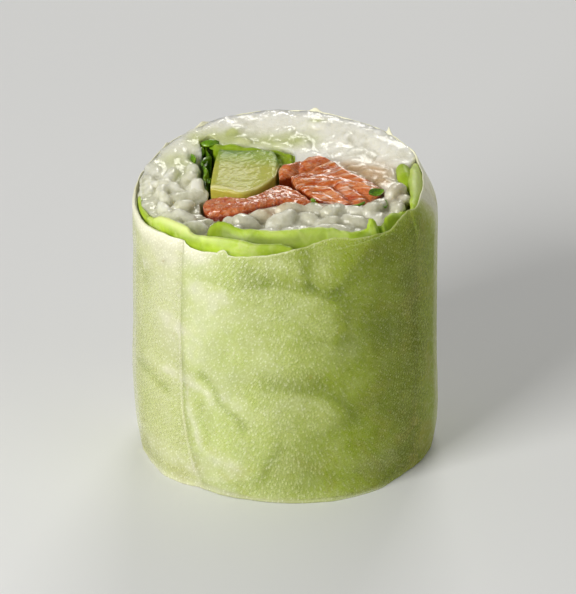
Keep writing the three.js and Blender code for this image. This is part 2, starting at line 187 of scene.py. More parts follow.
def steps(lines, x, y):
    # lines that are sharp on their right side and fade away over that width on their left
    total = 0 * x
    for width, strength, *points in lines:
        away, side = np.full(np.shape(x), 1e9), 0 * x
        for start, end in zip(points, points[1:]):
            (ax, ay), (bx, by) = start, end
            apart = fromLine(start, end, x, y)
            cross = ((bx - ax) * (y - ay) - (by - ay) * (x - ax)) / math.hypot(bx - ax, by - ay)
            side = np.where(apart < away, np.clip(cross, -1, 1), side)
            away = np.minimum(away, apart)
        fade = smooth(0.5 + side / 0.5)
        total = total + strength * np.exp(-away / width) * fade * smooth(1.6 - away / width / 2)
    return total


# folds of the leaf that show through the paper, as width, strength and then degrees and height
leafFolds = {
    # painted shade along the leaf's folds, which also sink the sheet a little
    "dark": [
        (1.1, 0.42, (-83, 40.4), (-81.5, 38.3), (-81, 36.2), (-80, 34.6)),
        (0.8, 0.4, (-80, 34.6), (-77, 33.4), (-72, 32.8), (-69, 33.2)),
        (1.5, 0.34, (-104, 36.3), (-101, 35.2), (-98, 34.7)),
        (2.3, 0.14, (-115, 36.5), (-109, 35.8), (-104, 35.4)),
        (0.7, 0.14, (-90, 33.3), (-89, 31.5)),
        (1.8, 0.16, (-34, 32.3), (-32, 27.5)),
        (1.2, 0.24, (-97, 19.4), (-90, 19.0), (-84, 18.6), (-76, 18.0)),
        (1.2, 0.14, (-70, 16.8), (-65, 15.0), (-63, 12.2)),
        (0.6, 0.62, (-124, 18.9), (-120, 18.0), (-118, 16.6), (-117, 15.3), (-113, 14.0), (-109, 12.9),
         (-105, 11.6)),
        (0.9, 0.3, (-92, 9.2), (-96, 6.7), (-99, 3.4)),
        (1.3, 0.16, (-80, 3.7), (-64, 3.4), (-50, 3.0)),
        (3.5, 0.14, (-49, 25.0), (-40, 20.8), (-46, 13.5)),
        (1.6, 0.2, (-68, 28.8), (-66, 25.3)),
        (2.0, 0.14, (-62, 30.0), (-52, 27.5), (-46, 24.0)),
        (1.2, 0.12, (-39, 4.6), (-25, 1.5)),
        (0.5, 0.6, (-165, 14.9), (-157, 15.2), (-151, 15.1), (-145, 14.5), (-141, 14.1)),
        (1.2, 0.4, (-162, 31.6), (-157, 29.8)),
        (0.8, 0.26, (-126, 13.2), (-123.5, 10.6), (-121.5, 8.4)),
    ],
    # painted highlight along the leaf's ridges, which also lift the sheet a little
    "light": [
        (0.8, 0.2, (-154, 18.0), (-143, 17.6)),
        (0.9, 0.42, (-141, 17.4), (-136, 17.0), (-132, 17.0)),
        (0.9, 0.42, (-129.5, 16.9), (-125, 16.6)),
        (1.6, 0.32, (-116, 16.0), (-112, 15.3), (-108, 15.2)),
        (0.8, 0.34, (-121.5, 15.9), (-120, 14.6)),
        (1.5, 0.4, (-119, 5.9), (-114, 5.3), (-109, 4.9)),
        (1.6, 0.25, (-124, 3.2), (-114, 2.2)),
        (0.45, 0.5, (-131.5, 14.8), (-130.5, 12.6), (-127.5, 10.4), (-125.5, 8.3), (-124, 6.8)),
        (1.5, 0.28, (-89, 15.8), (-79, 15.6), (-73, 13.9)),
        (2.2, 0.25, (-86, 30.9), (-75, 29.6), (-72, 27.2)),
        (1.2, 0.24, (-94, 38.5), (-88, 37.6), (-86, 36.4)),
        (1.4, 0.26, (-75, 38.3), (-74, 35.9)),
        (1.2, 0.34, (-142, 25.6), (-134, 25.0)),
        (2.6, 0.26, (-120, 29.4), (-125, 27.0), (-129, 22.4)),
        (3.0, 0.34, (-152, 37.0), (-138, 35.6), (-126, 36.8)),
        (1.6, 0.3, (-126, 31.8), (-119, 32.2), (-114, 31.6)),
        (0.6, 0.4, (-155, 32.5), (-155, 31.2)),
        (3.2, 0.2, (-104, 29.0), (-98, 24.0)),
        (1.5, 0.22, (-155, 4.0), (-140, 3.4), (-130, 3.0)),
    ],
    "milk": [
        (1.6, 0.35, (-144, 21.8), (-138, 20.6), (-134, 19.8)),
        (1.2, 0.35, (-122, 19.9), (-113, 19.6), (-104, 19.8)),
        (1.8, 0.18, (-70, 22.6), (-62, 23.6)),
        (1.6, 0.2, (-60, 4.6), (-44, 4.0)),
    ],
    # these painted shade lines are sharp on their right side as they run
    "steps": [
        (1.7, 0.36, (-126, 33.6), (-121, 33.9), (-116, 33.8), (-114, 33.3), (-105, 33.6), (-96, 34.2),
         (-90, 34.0), (-84, 33.6), (-78, 32.5), (-72, 31.8)),
        (2.6, 0.42, (-51, 40.2), (-56, 38.3), (-63, 36.2), (-67, 34.4), (-71, 33.2)),
        (1.6, 0.28, (-93, 17.7), (-84, 17.4), (-76, 16.9), (-70, 15.9), (-65, 14.3), (-62, 12.2)),
        (1.2, 0.26, (-99, 4.5), (-103, 3.4), (-111, 2.4), (-121, 2.0)),
        (4.0, 0.22, (-71, 32.0), (-67, 29.5), (-66, 26.9), (-69, 25.1)),
        (1.6, 0.12, (-84, 24.5), (-74, 24.9), (-66, 23.8), (-57, 22.4)),
        (3.0, 0.16, (-66, 11.7), (-80, 10.6), (-90, 9.2), (-95, 7.6)),
    ],
}
perDegree = math.radians(1) * roll["radius"]


def foldTone(angle, z):
    # painted shade where the leaf under the paper lies in shade, painted highlight where it comes up to the paper,
    # and where it is milky
    arc = wrapped(np.degrees(angle)) * perDegree
    scaled = {
        kind: [(w, k, *[(d * perDegree, h) for d, h in points]) for w, k, *points in lines]
        for kind, lines in leafFolds.items()
    }
    wander = 0.25 * cloud(arc, z, 0 * z, 4, 2) + 0.3 * cloud(arc, z, 0 * z, 1.7, 3)
    x, y = arc + wander, z + 0.7 * wander
    broken = 1 + 0.55 * cloud(arc, z, 0 * z, 1.1, 14) + 0.3 * cloud(arc, z, 0 * z, 0.55, 15)
    dark = strokes(scaled["dark"], x, y) * (1 + 0.25 * cloud(arc, z, 0 * z, 1.4, 16))
    dark = dark + steps(scaled["steps"], x, y)
    return dark, strokes(scaled["light"], x, y) * broken, strokes(scaled["milk"], x, y)


def nearRim(z):
    return smooth((z - top + 7) / 7)


def drift(z):
    # how far the fillings wander sideways on their way down
    return 0.7 * np.sin(0.075 * (top - z)), -0.5 * np.sin(0.06 * (top - z))


# meshes from arrays
def makeMesh(name, points, faces, finish, **fields):
    data = bpy.data.meshes.new(name)
    data.from_pydata((np.asarray(points) * 0.001).tolist(), [], [list(f) for f in faces])
    data.update()
    for field, values in fields.items():
        layer = data.attributes.new(field, "FLOAT", "POINT")
        layer.data.foreach_set("value", np.asarray(values, np.float32))
    data.shade_smooth()
    if finish:
        data.materials.append(finish)
    made = bpy.data.objects.new(name, data)
    bpy.context.scene.collection.objects.link(made)
    return made


def dress(made, slot, *nodes):
    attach(made, "root")
    if nodes:
        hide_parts(*nodes)
    print("made", made.name, len(made.data.polygons), "faces")


def gather(parts):
    # several shapes as one
    points, faces, start = [], [], 0
    for p, f in parts:
        points.append(p)
        faces += [[i + start for i in face] for face in np.asarray(f, object).tolist()]
        start += len(p)
    return np.concatenate(points), faces


def gridFaces(across, up, start, back):
    i, j = np.meshgrid(np.arange(across), np.arange(up))
    a = start + (j * (across + 1) + i).ravel()
    quad = np.stack([a, a + 1, a + across + 2, a + across + 1], 1)
    return quad[:, ::-1] if back else quad


def sheetArrays(across, up, place, lip=0.2):
    # a thin closed sheet with a rounded edge; place(u, v, side) gives its outer (0) or inner (1) face
    u, v = np.meshgrid(np.linspace(0, 1, across + 1), np.linspace(0, 1, up + 1))
    outer = np.stack(place(u, v, 0.0), -1).reshape(-1, 3)
    inner = np.stack(place(u, v, 1.0), -1).reshape(-1, 3)
    step = across + 1
    rim, inward = (np.concatenate([
        np.arange(across) + k * step, np.arange(up) * step + across - k,
        (up - k) * step + np.arange(across, 0, -1), np.arange(up, 0, -1) * step + k,
    ]) for k in (0, 1))
    outwards = outer[rim] - outer[inward]
    outwards = outwards / np.maximum(np.linalg.norm(outwards, axis=1, keepdims=True), 1e-9)
    middle = (outer[rim] + inner[rim]) / 2 + outwards * lip
    n = len(outer)
    k = np.arange(len(rim))
    ahead = (k + 1) % len(rim)
    faces = np.concatenate([
        gridFaces(across, up, 0, False),
        gridFaces(across, up, n, True),
        np.stack([rim[ahead], rim[k], 2 * n + k, 2 * n + ahead], 1),
        np.stack([2 * n + ahead, 2 * n + k, n + rim[k], n + rim[ahead]], 1),
    ])
    return np.concatenate([outer, inner, middle]), faces, (u.ravel(), v.ravel(), rim)


def blockArrays(long, wide, high, place):
    # the outside of a box of cells whose points place(s, t, h) moves
    seen, cells, faces = {}, [], []

    def quad(*corners):
        for key in corners:
            if key not in seen:
                seen[key] = len(cells)
                cells.append(key)
        faces.append([seen[key] for key in corners])

    for i in range(long):
        for j in range(wide):
            quad((i, j, high), (i + 1, j, high), (i + 1, j + 1, high), (i, j + 1, high))
            quad((i, j, 0), (i, j + 1, 0), (i + 1, j + 1, 0), (i + 1, j, 0))
        for k in range(high):
            quad((i, 0, k), (i + 1, 0, k), (i + 1, 0, k + 1), (i, 0, k + 1))
            quad((i, wide, k), (i, wide, k + 1), (i + 1, wide, k + 1), (i + 1, wide, k))
    for j in range(wide):
        for k in range(high):
            quad((0, j, k), (0, j, k + 1), (0, j + 1, k + 1), (0, j + 1, k))
            quad((long, j, k), (long, j + 1, k), (long, j + 1, k + 1), (long, j, k + 1))
    s, t, h = (np.array(cells, float) / (long, wide, high)).T
    return np.stack(place(s, t, h), -1), faces, (s, t, h)


# materials from nodes
class Finish:
    def __init__(self, name, surface):
        self.material = bpy.data.materials.new(name)
        self.material.use_nodes = True
        self.tree = self.material.node_tree
        self.shader = self.tree.nodes["Principled BSDF"]
        for socket, value in surface.items():
            self.shader.inputs[socket].default_value = value
        self.place = self.add("TexCoord").outputs["Object"]

    def add(self, kind, links=None, values=None, **settings):
        made = self.tree.nodes.new("ShaderNode" + kind)
        for key, value in settings.items():
            setattr(made, key, value)
        for key, value in (values or {}).items():
            made.inputs[key].default_value = value
        for key, source in (links or {}).items():
            self.tree.links.new(source, made.inputs[key])
        return made

    def feed(self, socket, value):
        # a number, a colour or another node's output
        if isinstance(value, (int, float)):
            socket.default_value = value
        elif isinstance(value, tuple):
            socket.default_value = (*value, 1)
        else:
            self.tree.links.new(value, socket)

    def field(self, name):
        return self.add("Attribute", attribute_name=name).outputs["Fac"]

    def stretched(self, vector, stretch):
        vector = vector or self.place
        return self.add("Mapping", {"Vector": vector}, {"Scale": stretch}).outputs[0] if stretch else vector

    def noise(self, size, detail=3.0, rough=0.55, warp=0.0, vector=None, stretch=None):
        # size is that of its lumps, in mm
        values = {"Scale": 1000 / size, "Detail": detail, "Roughness": rough, "Distortion": warp}
        return self.add("TexNoise", {"Vector": self.stretched(vector, stretch)}, values).outputs["Fac"]

    def dots(self, size, vector=None, stretch=None, feature="F1", flat=False):
        kind = {"feature": feature, "voronoi_dimensions": "2D" if flat else "3D"}
        made = self.add("TexVoronoi", {"Vector": self.stretched(vector, stretch)}, {"Scale": 1000 / size}, **kind)
        return made.outputs["Distance"]

    def ramp(self, source, *stops):
        made = self.add("ValToRGB", {"Fac": source})
        ramp = made.color_ramp
        while len(ramp.elements) < len(stops):
            ramp.elements.new(0.5)
        for element, (where, colour) in zip(ramp.elements, stops):
            element.position = where
            element.color = (*colour, 1)
        return made.outputs["Color"]

    def step(self, source, low, high, start=0.0, end=1.0):
        limits = {"From Min": low, "From Max": high, "To Min": start, "To Max": end}
        return self.add("MapRange", {"Value": source}, limits, interpolation_type="SMOOTHSTEP").outputs["Result"]

    def reckon(self, operation, a, b):
        made = self.add("Math", operation=operation)
        self.feed(made.inputs[0], a)
        self.feed(made.inputs[1], b)
        return made.outputs[0]

    def plus(self, a, b):
        return self.reckon("ADD", a, b)

    def times(self, a, b):
        return self.reckon("MULTIPLY", a, b)

    def larger(self, a, b):
        return self.reckon("MAXIMUM", a, b)

    def sway(self, source, share):
        # a noise about its middle, and how much of it
        return self.times(self.reckon("SUBTRACT", source, 0.5), share)

    def blend(self, share, a, b):
        made = self.add("Mix", data_type="RGBA", clamp_factor=True)
        for k, value in ((0, share), (6, a), (7, b)):
            self.feed(made.inputs[k], value)
        return made.outputs[2]

    def relief(self, *layers):
        # each layer is (height, how deep in mm)
        normal = None
        for height, depth in layers:
            links = {"Height": height}
            if normal is not None:
                links["Normal"] = normal
            normal = self.add("Bump", links, {"Strength": 1.0, "Distance": depth * 0.001}).outputs[0]
        self.use("Normal", normal)

    def use(self, socket, source):
        self.tree.links.new(source, self.shader.inputs[socket])


def linear(r, g, b):
    # a screen colour from 0 to 255 as the shader wants it
    return tuple(((c / 255 + 0.055) / 1.055) ** 2.4 if c > 10 else c / 255 / 12.92 for c in (r, g, b))


# rice paper: one sheet, wound from under its own lap, once round, to the seam
paper = {
    "thick": 0.45,
    "lapGap": 0.12,
    "lapFrom": -186,  # degrees, where the sheet starts
    "seam": -133,  # and where it ends, after one turn
    "lapped": [(-180, 1), (-133, 1), (-112, 0), (168, 0), (173, 1)],  # where there are two layers
    "cells": (420, 112),
    # torn nibs of its edge, as angle and width in degrees and height
    "nibs": [(78, 3.0, 0.75), (45, 1.5, 1.2), (124, 4.0, 0.7), (143, 2.2, 0.5)],
    "tones": [
        (0.0, linear(244, 243, 218)), (0.2, linear(234, 238, 184)), (0.45, linear(211, 221, 134)),
        (0.7, linear(173, 189, 56)), (1.0, linear(127, 140, 0)),
    ],
    "surface": {"Roughness": 0.5, "IOR": 1.36, "Specular IOR Level": 0.35, "Coat Weight": 0.06,
                "Coat Roughness": 0.25},
    # painted shade colour for the leaf's folds
    "foldShade": linear(112, 128, 84),
    "milk": linear(206, 209, 168),
    "warm": linear(192, 186, 84),
    "speck": linear(250, 250, 234),
    "brown": linear(120, 96, 40),
    "cover": 0.34,  # how much one face of the sheet hides
    "speckSize": 0.38,
    # the few brown specks, as degrees and height
    "browns": [
        (-131, 16.1), (-127, 5.2), (-137, 23.7), (-142, 34.7), (-69, 26.8), (-80, 20.1), (-34, 16.3),
        (-45, 11.6), (-28, 14.4),
    ],
    # how deep the leaf's green lies under it, by angle; its deeper olive on the front right is partly painted shade
    "green": [(-180, 0.31), (-150, 0.27), (-120, 0.27), (-100, 0.38), (-80, 0.54), (-62, 0.7), (-45, 0.8),
              (-30, 0.84), (-12, 0.74), (2, 0.42), (16, 0.15), (34, 0.02), (90, 0.0), (150, 0.03), (168, 0.14)],
}


def seamAt(z):
    # the outer end of the sheet, which leans to the right at its foot
    return np.radians(360 + paper["seam"] + 9 * past(1 - z / 16) ** 2)


def paperDepth(turned):
    # under the lap the sheet lies one layer further in
    share = 1 - smooth((turned - math.radians(paper["seam"])) / math.radians(20))
    return (paper["thick"] + paper["lapGap"]) * share


def rimHeight(turned):
    degrees = wrapped(np.degrees(turned))
    torn = smooth((degrees + 166) / 8) * smooth((-12 - degrees) / 12)
    rim = top + mix(around(roll["rimRise"], turned), along(roll["frontRim"], degrees), torn)
    rim = rim + 0.07 * cloud(*wallPoint(turned), 0 * turned, 0.8, 3)
    for angle, width, height in paper["nibs"]:
        rim = rim + height * past(1 - np.abs(degrees - angle) / width) ** 1.3
    # the start of the sheet stays under its end
    return rim - 0.4 * smooth((math.radians(paper["seam"] - 2) - turned) / math.radians(9))


def sheetPlace(u, v):
    # where a point of the flat sheet goes: how far round, and its share of the height
    rows = mix(v, smooth(v), 0.45)
    return mix(math.radians(paper["lapFrom"]), seamAt(rows * top), u), rows


def placePaper(u, v, side):
    turned, rows = sheetPlace(u, v)
    ending = smooth((turned - seamAt(rows * top) + math.radians(14)) / math.radians(14))
    foot = 0.1 * (1 + np.cos(4 * turned + 1)) * 0.9
    rim = rimHeight(turned)
    plain = top + around(roll["rimRise"], turned)
    z = mix(foot, plain, rows) + (rim - plain) * smooth((rows - 0.9) / 0.1)
    x, y = wallPoint(turned)
    dark, light, _ = foldTone(turned, z)
    relief = (0.16 * np.clip(light, 0, 1) - 0.13 * dark) * smooth((38.5 - z) / 3)
    seamLift = 0.02 * bump(turned * roll["radius"], seamAt(rows * top) * roll["radius"] - 0.2, 0.2)
    # it puckers at the foot and a little at the rim
    pucker = 0.16 * cloud(x, y, 0 * x, 1.8, 5) * past(1 - z / 3.2)
    pucker = relief + seamLift + pucker + 0.07 * cloud(x, y, 0 * x, 1.5, 8) * past(1 - (rim - z) / 2)
    fine = 0.02 * cloud(x, y, z, 0.9, 1)
    # both ends feather out, the outer one sinks onto the layer under it, and the rim is thin
    blunt = mix(0.3, 1.0, smooth((turned - math.radians(170)) / math.radians(14)))
    thin = paper["thick"] * mix(0.25, 1, smooth(u / 0.012)) * mix(1, 0.1, ending)
    thin = thin * mix(blunt, 1, smooth((rim - z) / 1.2))
    under = smooth((math.radians(paper["seam"]) - turned) / math.radians(8))
    closeUp = smooth((z - top + 3.5) / 3)
    pressed = under * (0.16 * (1 - side) * (1 - closeUp) - 0.1 * closeUp)
    r = skin(turned, z) - paperDepth(turned) - side * thin - 0.49 * ending + pucker + fine - 0.02 - pressed
    return r * np.cos(turned), r * np.sin(turned), z


def paperFinish():
    made = Finish("soakedRicePaper", paper["surface"])
    lie = made.add("CombineXYZ", {"X": made.field("wound"), "Y": made.field("level")}).outputs[0]
    tilted = made.add("Mapping", {"Vector": lie}, {"Rotation": (0, 0, 0.5)}).outputs[0]
    size = paper["speckSize"]
    # starch grains: short slanted dashes all over, small round ones, and a few that stand out
    dashes = made.step(made.noise(size * 0.8, 1.5, 0.6, vector=tilted, stretch=(1, 0.5, 1)), 0.5, 0.68)
    grains = made.step(made.dots(size, tilted, (1.0, 0.6, 1), flat=True), 0.34, 0.14)
    flecks = made.step(made.dots(size * 2.2, tilted, (1.0, 0.7, 1), flat=True), 0.16, 0.09)
    here = made.step(made.noise(1.7, 3, 0.65, vector=lie), 0.4, 0.62, 0.15, 1)
    mottle = made.noise(2.2, 4, 0.6, 0.5, vector=lie)
    cloudy = made.noise(6.0, 3, 0.55, 0.6, vector=lie)
    speckLight = made.field("speckLight")
    specks = made.larger(made.times(dashes, 0.26), made.times(made.times(grains, here), 0.4))
    specks = made.larger(specks, made.times(flecks, 0.6))
    # the specks show most where the light falls, partly painted light
    specks = made.times(specks, speckLight)
    tone = made.plus(made.field("tone"), made.sway(mottle, 0.34))
    tone = made.plus(tone, made.sway(cloudy, 0.3))
    colour = made.ramp(tone, *paper["tones"])
    patches = made.step(made.noise(4.5, 4, 0.6, 0.8, vector=lie), 0.46, 0.66)
    colour = made.blend(made.times(patches, made.field("warmth")), colour, paper["warm"])
    # painted shade over the leaf's folds
    colour = made.blend(made.times(made.field("foldShade"), 0.5), colour, paper["foldShade"])
    colour = made.blend(made.field("milk"), colour, paper["milk"])
    colour = made.blend(specks, colour, paper["speck"])
    browns = made.field("brown")
    colour = made.blend(browns, colour, paper["brown"])
    made.use("Base Color", colour)
    cover = made.plus(made.times(mottle, 0.1), paper["cover"] - 0.05)
    cover = made.plus(cover, made.times(specks, 0.3))
    cover = made.plus(cover, made.field("edge"))
    cover = made.plus(cover, made.times(browns, 0.5))
    made.use("Alpha", made.add("Clamp", {"Value": cover}, {"Min": 0.06, "Max": 0.96}).outputs[0])
    made.use("Roughness", made.step(mottle, 0.3, 0.7, 0.4, 0.58))
    made.relief((made.noise(1.4, 3, 0.6, vector=lie), 0.1), (specks, 0.012))
    return made.material


def makePaper():
    points, faces, (u, v, rim) = sheetArrays(*paper["cells"], placePaper, 0.04)
    turned, rows = sheetPlace(np.concatenate([u, u, u[rim]]), np.concatenate([v, v, v[rim]]))
    level = points[:, 2]
    below = rimHeight(turned) - level
    degrees = wrapped(np.degrees(turned))
    fromEnd = (turned - seamAt(rows * top)) * roll["radius"]  # mm from the outer end, which is at 0
    left = smooth((-108 - degrees) / 30) + smooth((degrees - 120) / 40)
    right = smooth((degrees + 62) / 40) * smooth((60 - degrees) / 30)
    back = smooth((degrees + 8) / 30) * smooth((192 - degrees) / 30)
    dark, light, milk = foldTone(turned, level)
    # it hides more at its rim and foot, on the right and at the back, where rice lies under it
    edge = 0.16 * smooth(1 - below / 0.3) + 0.5 * left * smooth(1 - below / 2.6) + 0.08 * smooth(1 - level / 1.0)
    edge = edge + 0.16 * right + 0.5 * back * smooth(1 - below / 8) + 0.12 * back
    # it hides more over the light folds, a painted highlight
    edge = edge + 0.2 * np.clip(light, 0, 1) + 0.15 * milk
    rightRim = smooth(1 - below / 6.5) * smooth((degrees + 24) / 18) * smooth((80 - degrees) / 30)
    # and more along the left foot, a painted reflection
    edge = edge + 0.25 * smooth(1 - level / 1.3) * smooth((-118 - degrees) / 20) + 0.34 * rightRim
    # where two layers lie over each other each hides less, and the ends melt into the layer under them
    lapped = np.maximum(smooth((-129 - np.degrees(turned)) / 6), smooth((np.degrees(turned) - 173) / 6))
    edge = edge - 0.04 * lapped - 0.2 * smooth(1 + fromEnd / 1.2)
    lowest = np.minimum(edge, 0.1 + 0.4 * smooth(1 - below / 1.5))
    edge = np.where(turned < math.radians(paper["seam"]), lowest, edge)
    seamLine = bump(fromEnd, -0.25, 0.2) * smooth((34 - level) / 4) * (0.45 + 0.55 * bump(level, 10, 8))
    edge = edge + 0.3 * seamLine
    # painted shade over the dark folds and painted highlight over the light ones
    tone = around(paper["green"], turned) + (0.3 * dark - 0.45 * light) * (1 - back) - 0.3 * seamLine
    # paler at the rim and the foot; paler down the right-hand outline, a painted sheen, and on the upper left, a
    # painted highlight
    tone = tone - 0.3 * smooth(1 - below / 0.3) - 0.18 * smooth(1 - level / 1.8) - 0.16 * bump(degrees, -4, 8)
    tone = tone - 0.5 * left * smooth(1 - below / 2.4) - 0.12 * bump(degrees, -142, 14) * smooth((level - 18) / 6)
    tone = tone - 0.72 * rightRim - 0.16 * smooth(1 - below / 2.5) * bump(degrees, -30, 14)
    warmth = 0.08 + 0.4 * smooth((degrees + 80) / 50) + 0.2 * bump(level, 4, 6)
    browns = 0
    for d, z in paper["browns"]:
        browns = browns + bump(np.hypot(wrapped(degrees - d) * perDegree, level - z), 0, 0.18)
    fields = {
        "wound": turned * roll["radius"] * 0.001,
        "level": level * 0.001,
        "edge": edge,
        "tone": tone,
        # speckled most over the upper left, where the light falls, partly painted light
        "speckLight": 0.55 + 0.45 * smooth((-58 - degrees) / 40) + 0.3 * bump(degrees, -106, 16) * bump(level, 36, 3),
        "warmth": warmth * (1 - back),
        # painted shade in the leaf's folds
        "foldShade": np.clip(dark, 0, 1) * (1 - back),
        "milk": np.clip(milk, 0, 1) * (1 - back),
        "brown": browns,
    }
    dress(makeMesh("ricePaper", points, faces, paperFinish(), **fields), "rice_paper", "rice_paper")


# lettuce along the wall
lettuce = {
    "thick": 0.7,
    "foot": 0.35,
    "room": 0.1,
    # upper edges, as degrees and height over the cut
    "outerTop": [
        (-180, -1.3), (-160, -1.3), (-154.5, -0.4), (-147, 0.8), (-143, 1.1), (-136, 1.15), (-133, 1.0),
        (-131, 0.5), (-128.6, 0.35), (-123.8, 0.55), (-119, 0.8), (-108.4, 0.95), (-100.8, 0.75), (-92, 0.85),
        (-88, 0.45), (-84.6, -0.2), (-79, -0.9), (-60, -0.6), (-38, -0.5),
    ],
    "innerTop": [
        (-130, -0.2), (-128, 0.6), (-125, 1.35), (-122.6, 1.85), (-119.2, 2.1), (-116.4, 2.0), (-113.5, 1.7),
        (-109.8, 1.6), (-105, 1.8), (-96.3, 1.75), (-87.6, 1.8), (-78.5, 1.8), (-73.9, 1.6), (-66.6, 1.2),
        (-61.6, 0.65), (-56.5, 0.25), (-51, 0.12), (-48.8, 0.2), (-47.4, 0.8), (-46.2, 1.3), (-44.3, 1.1),
        (-43, 0.35), (-42, -0.3), (-38.2, -0.1), (-35.9, 0.3), (-31.8, 0.35), (-25, -0.25), (-18, -0.9),
    ],
    "ribTop": [(-24, 0.1), (-15, 0.35), (0, 0.5), (12, 0.4), (19, 0.0), (25, -1.0)],
    "ribThick": [(-24, 0.5), (-15, 1.1), (0, 1.6), (10, 1.45), (25, 0.5)],
    "cells": (260, 60),
    # from and to which angle each leaf goes, in degrees
    "outerSpan": (-179, -38),
    "innerSpan": (-130, -18),
    "ribSpan": (-24, 25),
    # how pale their upper edges are, partly a painted highlight that is strongest on the outer leaf's lit left
    "outerGlow": [(-180, 0.2), (-164, 0.6), (-156, 1.0), (-134, 1.0), (-120, 0.6), (-109, 0.1), (-80, 0.0)],
    "innerGlow": [(-130, 0.0), (-114, 0.0), (-80, 0.25), (-50, 0.0)],
    "tip": {"at": (17.2, 3.3), "below": 1.0, "half": (3.8, 1.6), "lean": 11},  # the curl over the rib's end
    "surface": {"Roughness": 0.36, "IOR": 1.4, "Subsurface Weight": 0.3, "Subsurface Radius": (0.6, 0.9, 0.2),
                "Subsurface Scale": 0.0012, "Specular IOR Level": 0.25, "Coat Weight": 0.04, "Coat Roughness": 0.2},
    "pale": linear(216, 228, 150),
    "lime": linear(180, 206, 64),
    "green": linear(134, 162, 22),
    "deep": linear(92, 110, 4),
}


def folds(angle, z):
    ripple = np.sin(5.3 * angle + 0.21 * z) + np.sin(9.1 * angle - 0.34 * z + 1.7)
    return smooth(0.5 + 0.3 * ripple + 0.2 * np.sin(0.42 * z + 2 * angle))


def outerDepth(angle, z):
    # it lies one layer further in where the paper laps
    lap = (paper["thick"] + paper["lapGap"]) * around(paper["lapped"], angle)
    close = nearRim(z) ** 4
    room = lettuce["room"] * (1 - 0.6 * close) + 0.55 * folds(angle, z) * (1 - 0.85 * close)
    return paper["thick"] + lap * (1 - 0.9 * close) + room


def innerDepth(angle, z):
    wound = outerDepth(angle, z) + (0.55 * folds(angle, z) + lettuce["room"]) * 0.8 * nearRim(z) ** 4
    return wound + lettuce["thick"] + lettuce["room"] + 0.35 * folds(angle + 2, z + 5)


def wallLeaf(span, topLine, depth, bend, hook=lambda degrees, z: 0, extra=lambda degrees: 0):
    def place(u, v, side):
        degrees = mix(*span, u)
        angle = np.radians(degrees)
        x, y = wallPoint(angle)
        edge = top + along(topLine, degrees) + 0.05 * cloud(x, y, 0 * x, 1.6, 4)
        z = mix(lettuce["foot"], edge, mix(v, smooth(v), 0.4))
        bent = bend * past((z - top + 3.5) / 5) ** 2 + 0.1 * nearRim(z) ** 3 * cloud(x, y, z, 3.2, 9)
        plump = lettuce["thick"] * (0.8 + 0.5 * nearRim(z) ** 2 * smooth((edge - z) / 0.8))
        plump = plump + extra(degrees) * nearRim(z)
        r = skin(angle, z) - depth(angle, z) - bent - hook(degrees, z) - side * plump
        r = r + 0.03 * cloud(x, y, z, 1.3, 7)
        return r * np.cos(angle), r * np.sin(angle), z
    return place


def leafFinish(name, shade):
    made = Finish(name, lettuce["surface"])
    patches = made.noise(5.5, 4, 0.6, 0.5)
    veins = made.step(made.dots(6.5, stretch=(1, 1, 0.5), feature="DISTANCE_TO_EDGE"), 0.0, 0.07, 1, 0)
    streaks = made.noise(1.6, 3, 0.6, 0.6, stretch=(1, 1, 0.45))
    colour = made.ramp(patches, (0.26, lettuce["pale"]), (0.46, lettuce["lime"]), (0.68, lettuce["green"]))
    colour = made.blend(made.step(streaks, 0.5, 0.75, 0, 0.35), colour, lettuce["pale"])
    colour = made.blend(made.times(veins, 0.22), colour, lettuce["pale"])
    # painted shade and, in part, painted highlight, carried by the mesh's fields
    colour = made.blend(made.field("shade"), colour, lettuce["deep"])
    colour = made.blend(made.field("bright"), colour, lettuce["pale"])
    if shade:
        colour = made.blend(shade, colour, lettuce["green"])
    made.use("Base Color", colour)
    made.use("Roughness", made.step(patches, 0.3, 0.7, 0.36, 0.52))
    made.relief((made.noise(0.5, 2, 0.5), 0.04), (veins, 0.04), (streaks, 0.1))
    return made.material


def leafShade(points):
    # painted shade, darker to the right and in the folds, with painted highlight on the light folds, but not at the
    # cut
    x, y, z = points.T
    angle = np.arctan2(y, x)
    degrees = np.degrees(angle)
    right = 0.22 * smooth((degrees + 95) / 55) * smooth((90 - degrees) / 60)
    inside = smooth((top - 0.6 - z) / 1.2)
    dark, light, _ = foldTone(angle, z)
    return np.clip((right + 0.45 * dark - 0.4 * light) * inside, 0, 0.9)


def makeLeaf(name, node, place, finish, bright, hollow):
    points, faces, _ = sheetArrays(*lettuce["cells"], place, 0.22)
    degrees = np.degrees(np.arctan2(points[:, 1], points[:, 0]))
    # painted shade from the folds and from the hollows between the leaves
    shade = leafShade(points) + hollow(degrees, points[:, 2])
    # paler along the upper edge, partly a painted highlight
    glow = smooth((points[:, 2] - top + 0.4) / 1.4) * along(bright, degrees)
    dress(makeMesh(name, points, faces, finish, shade=shade, bright=glow), "lettuce", node)


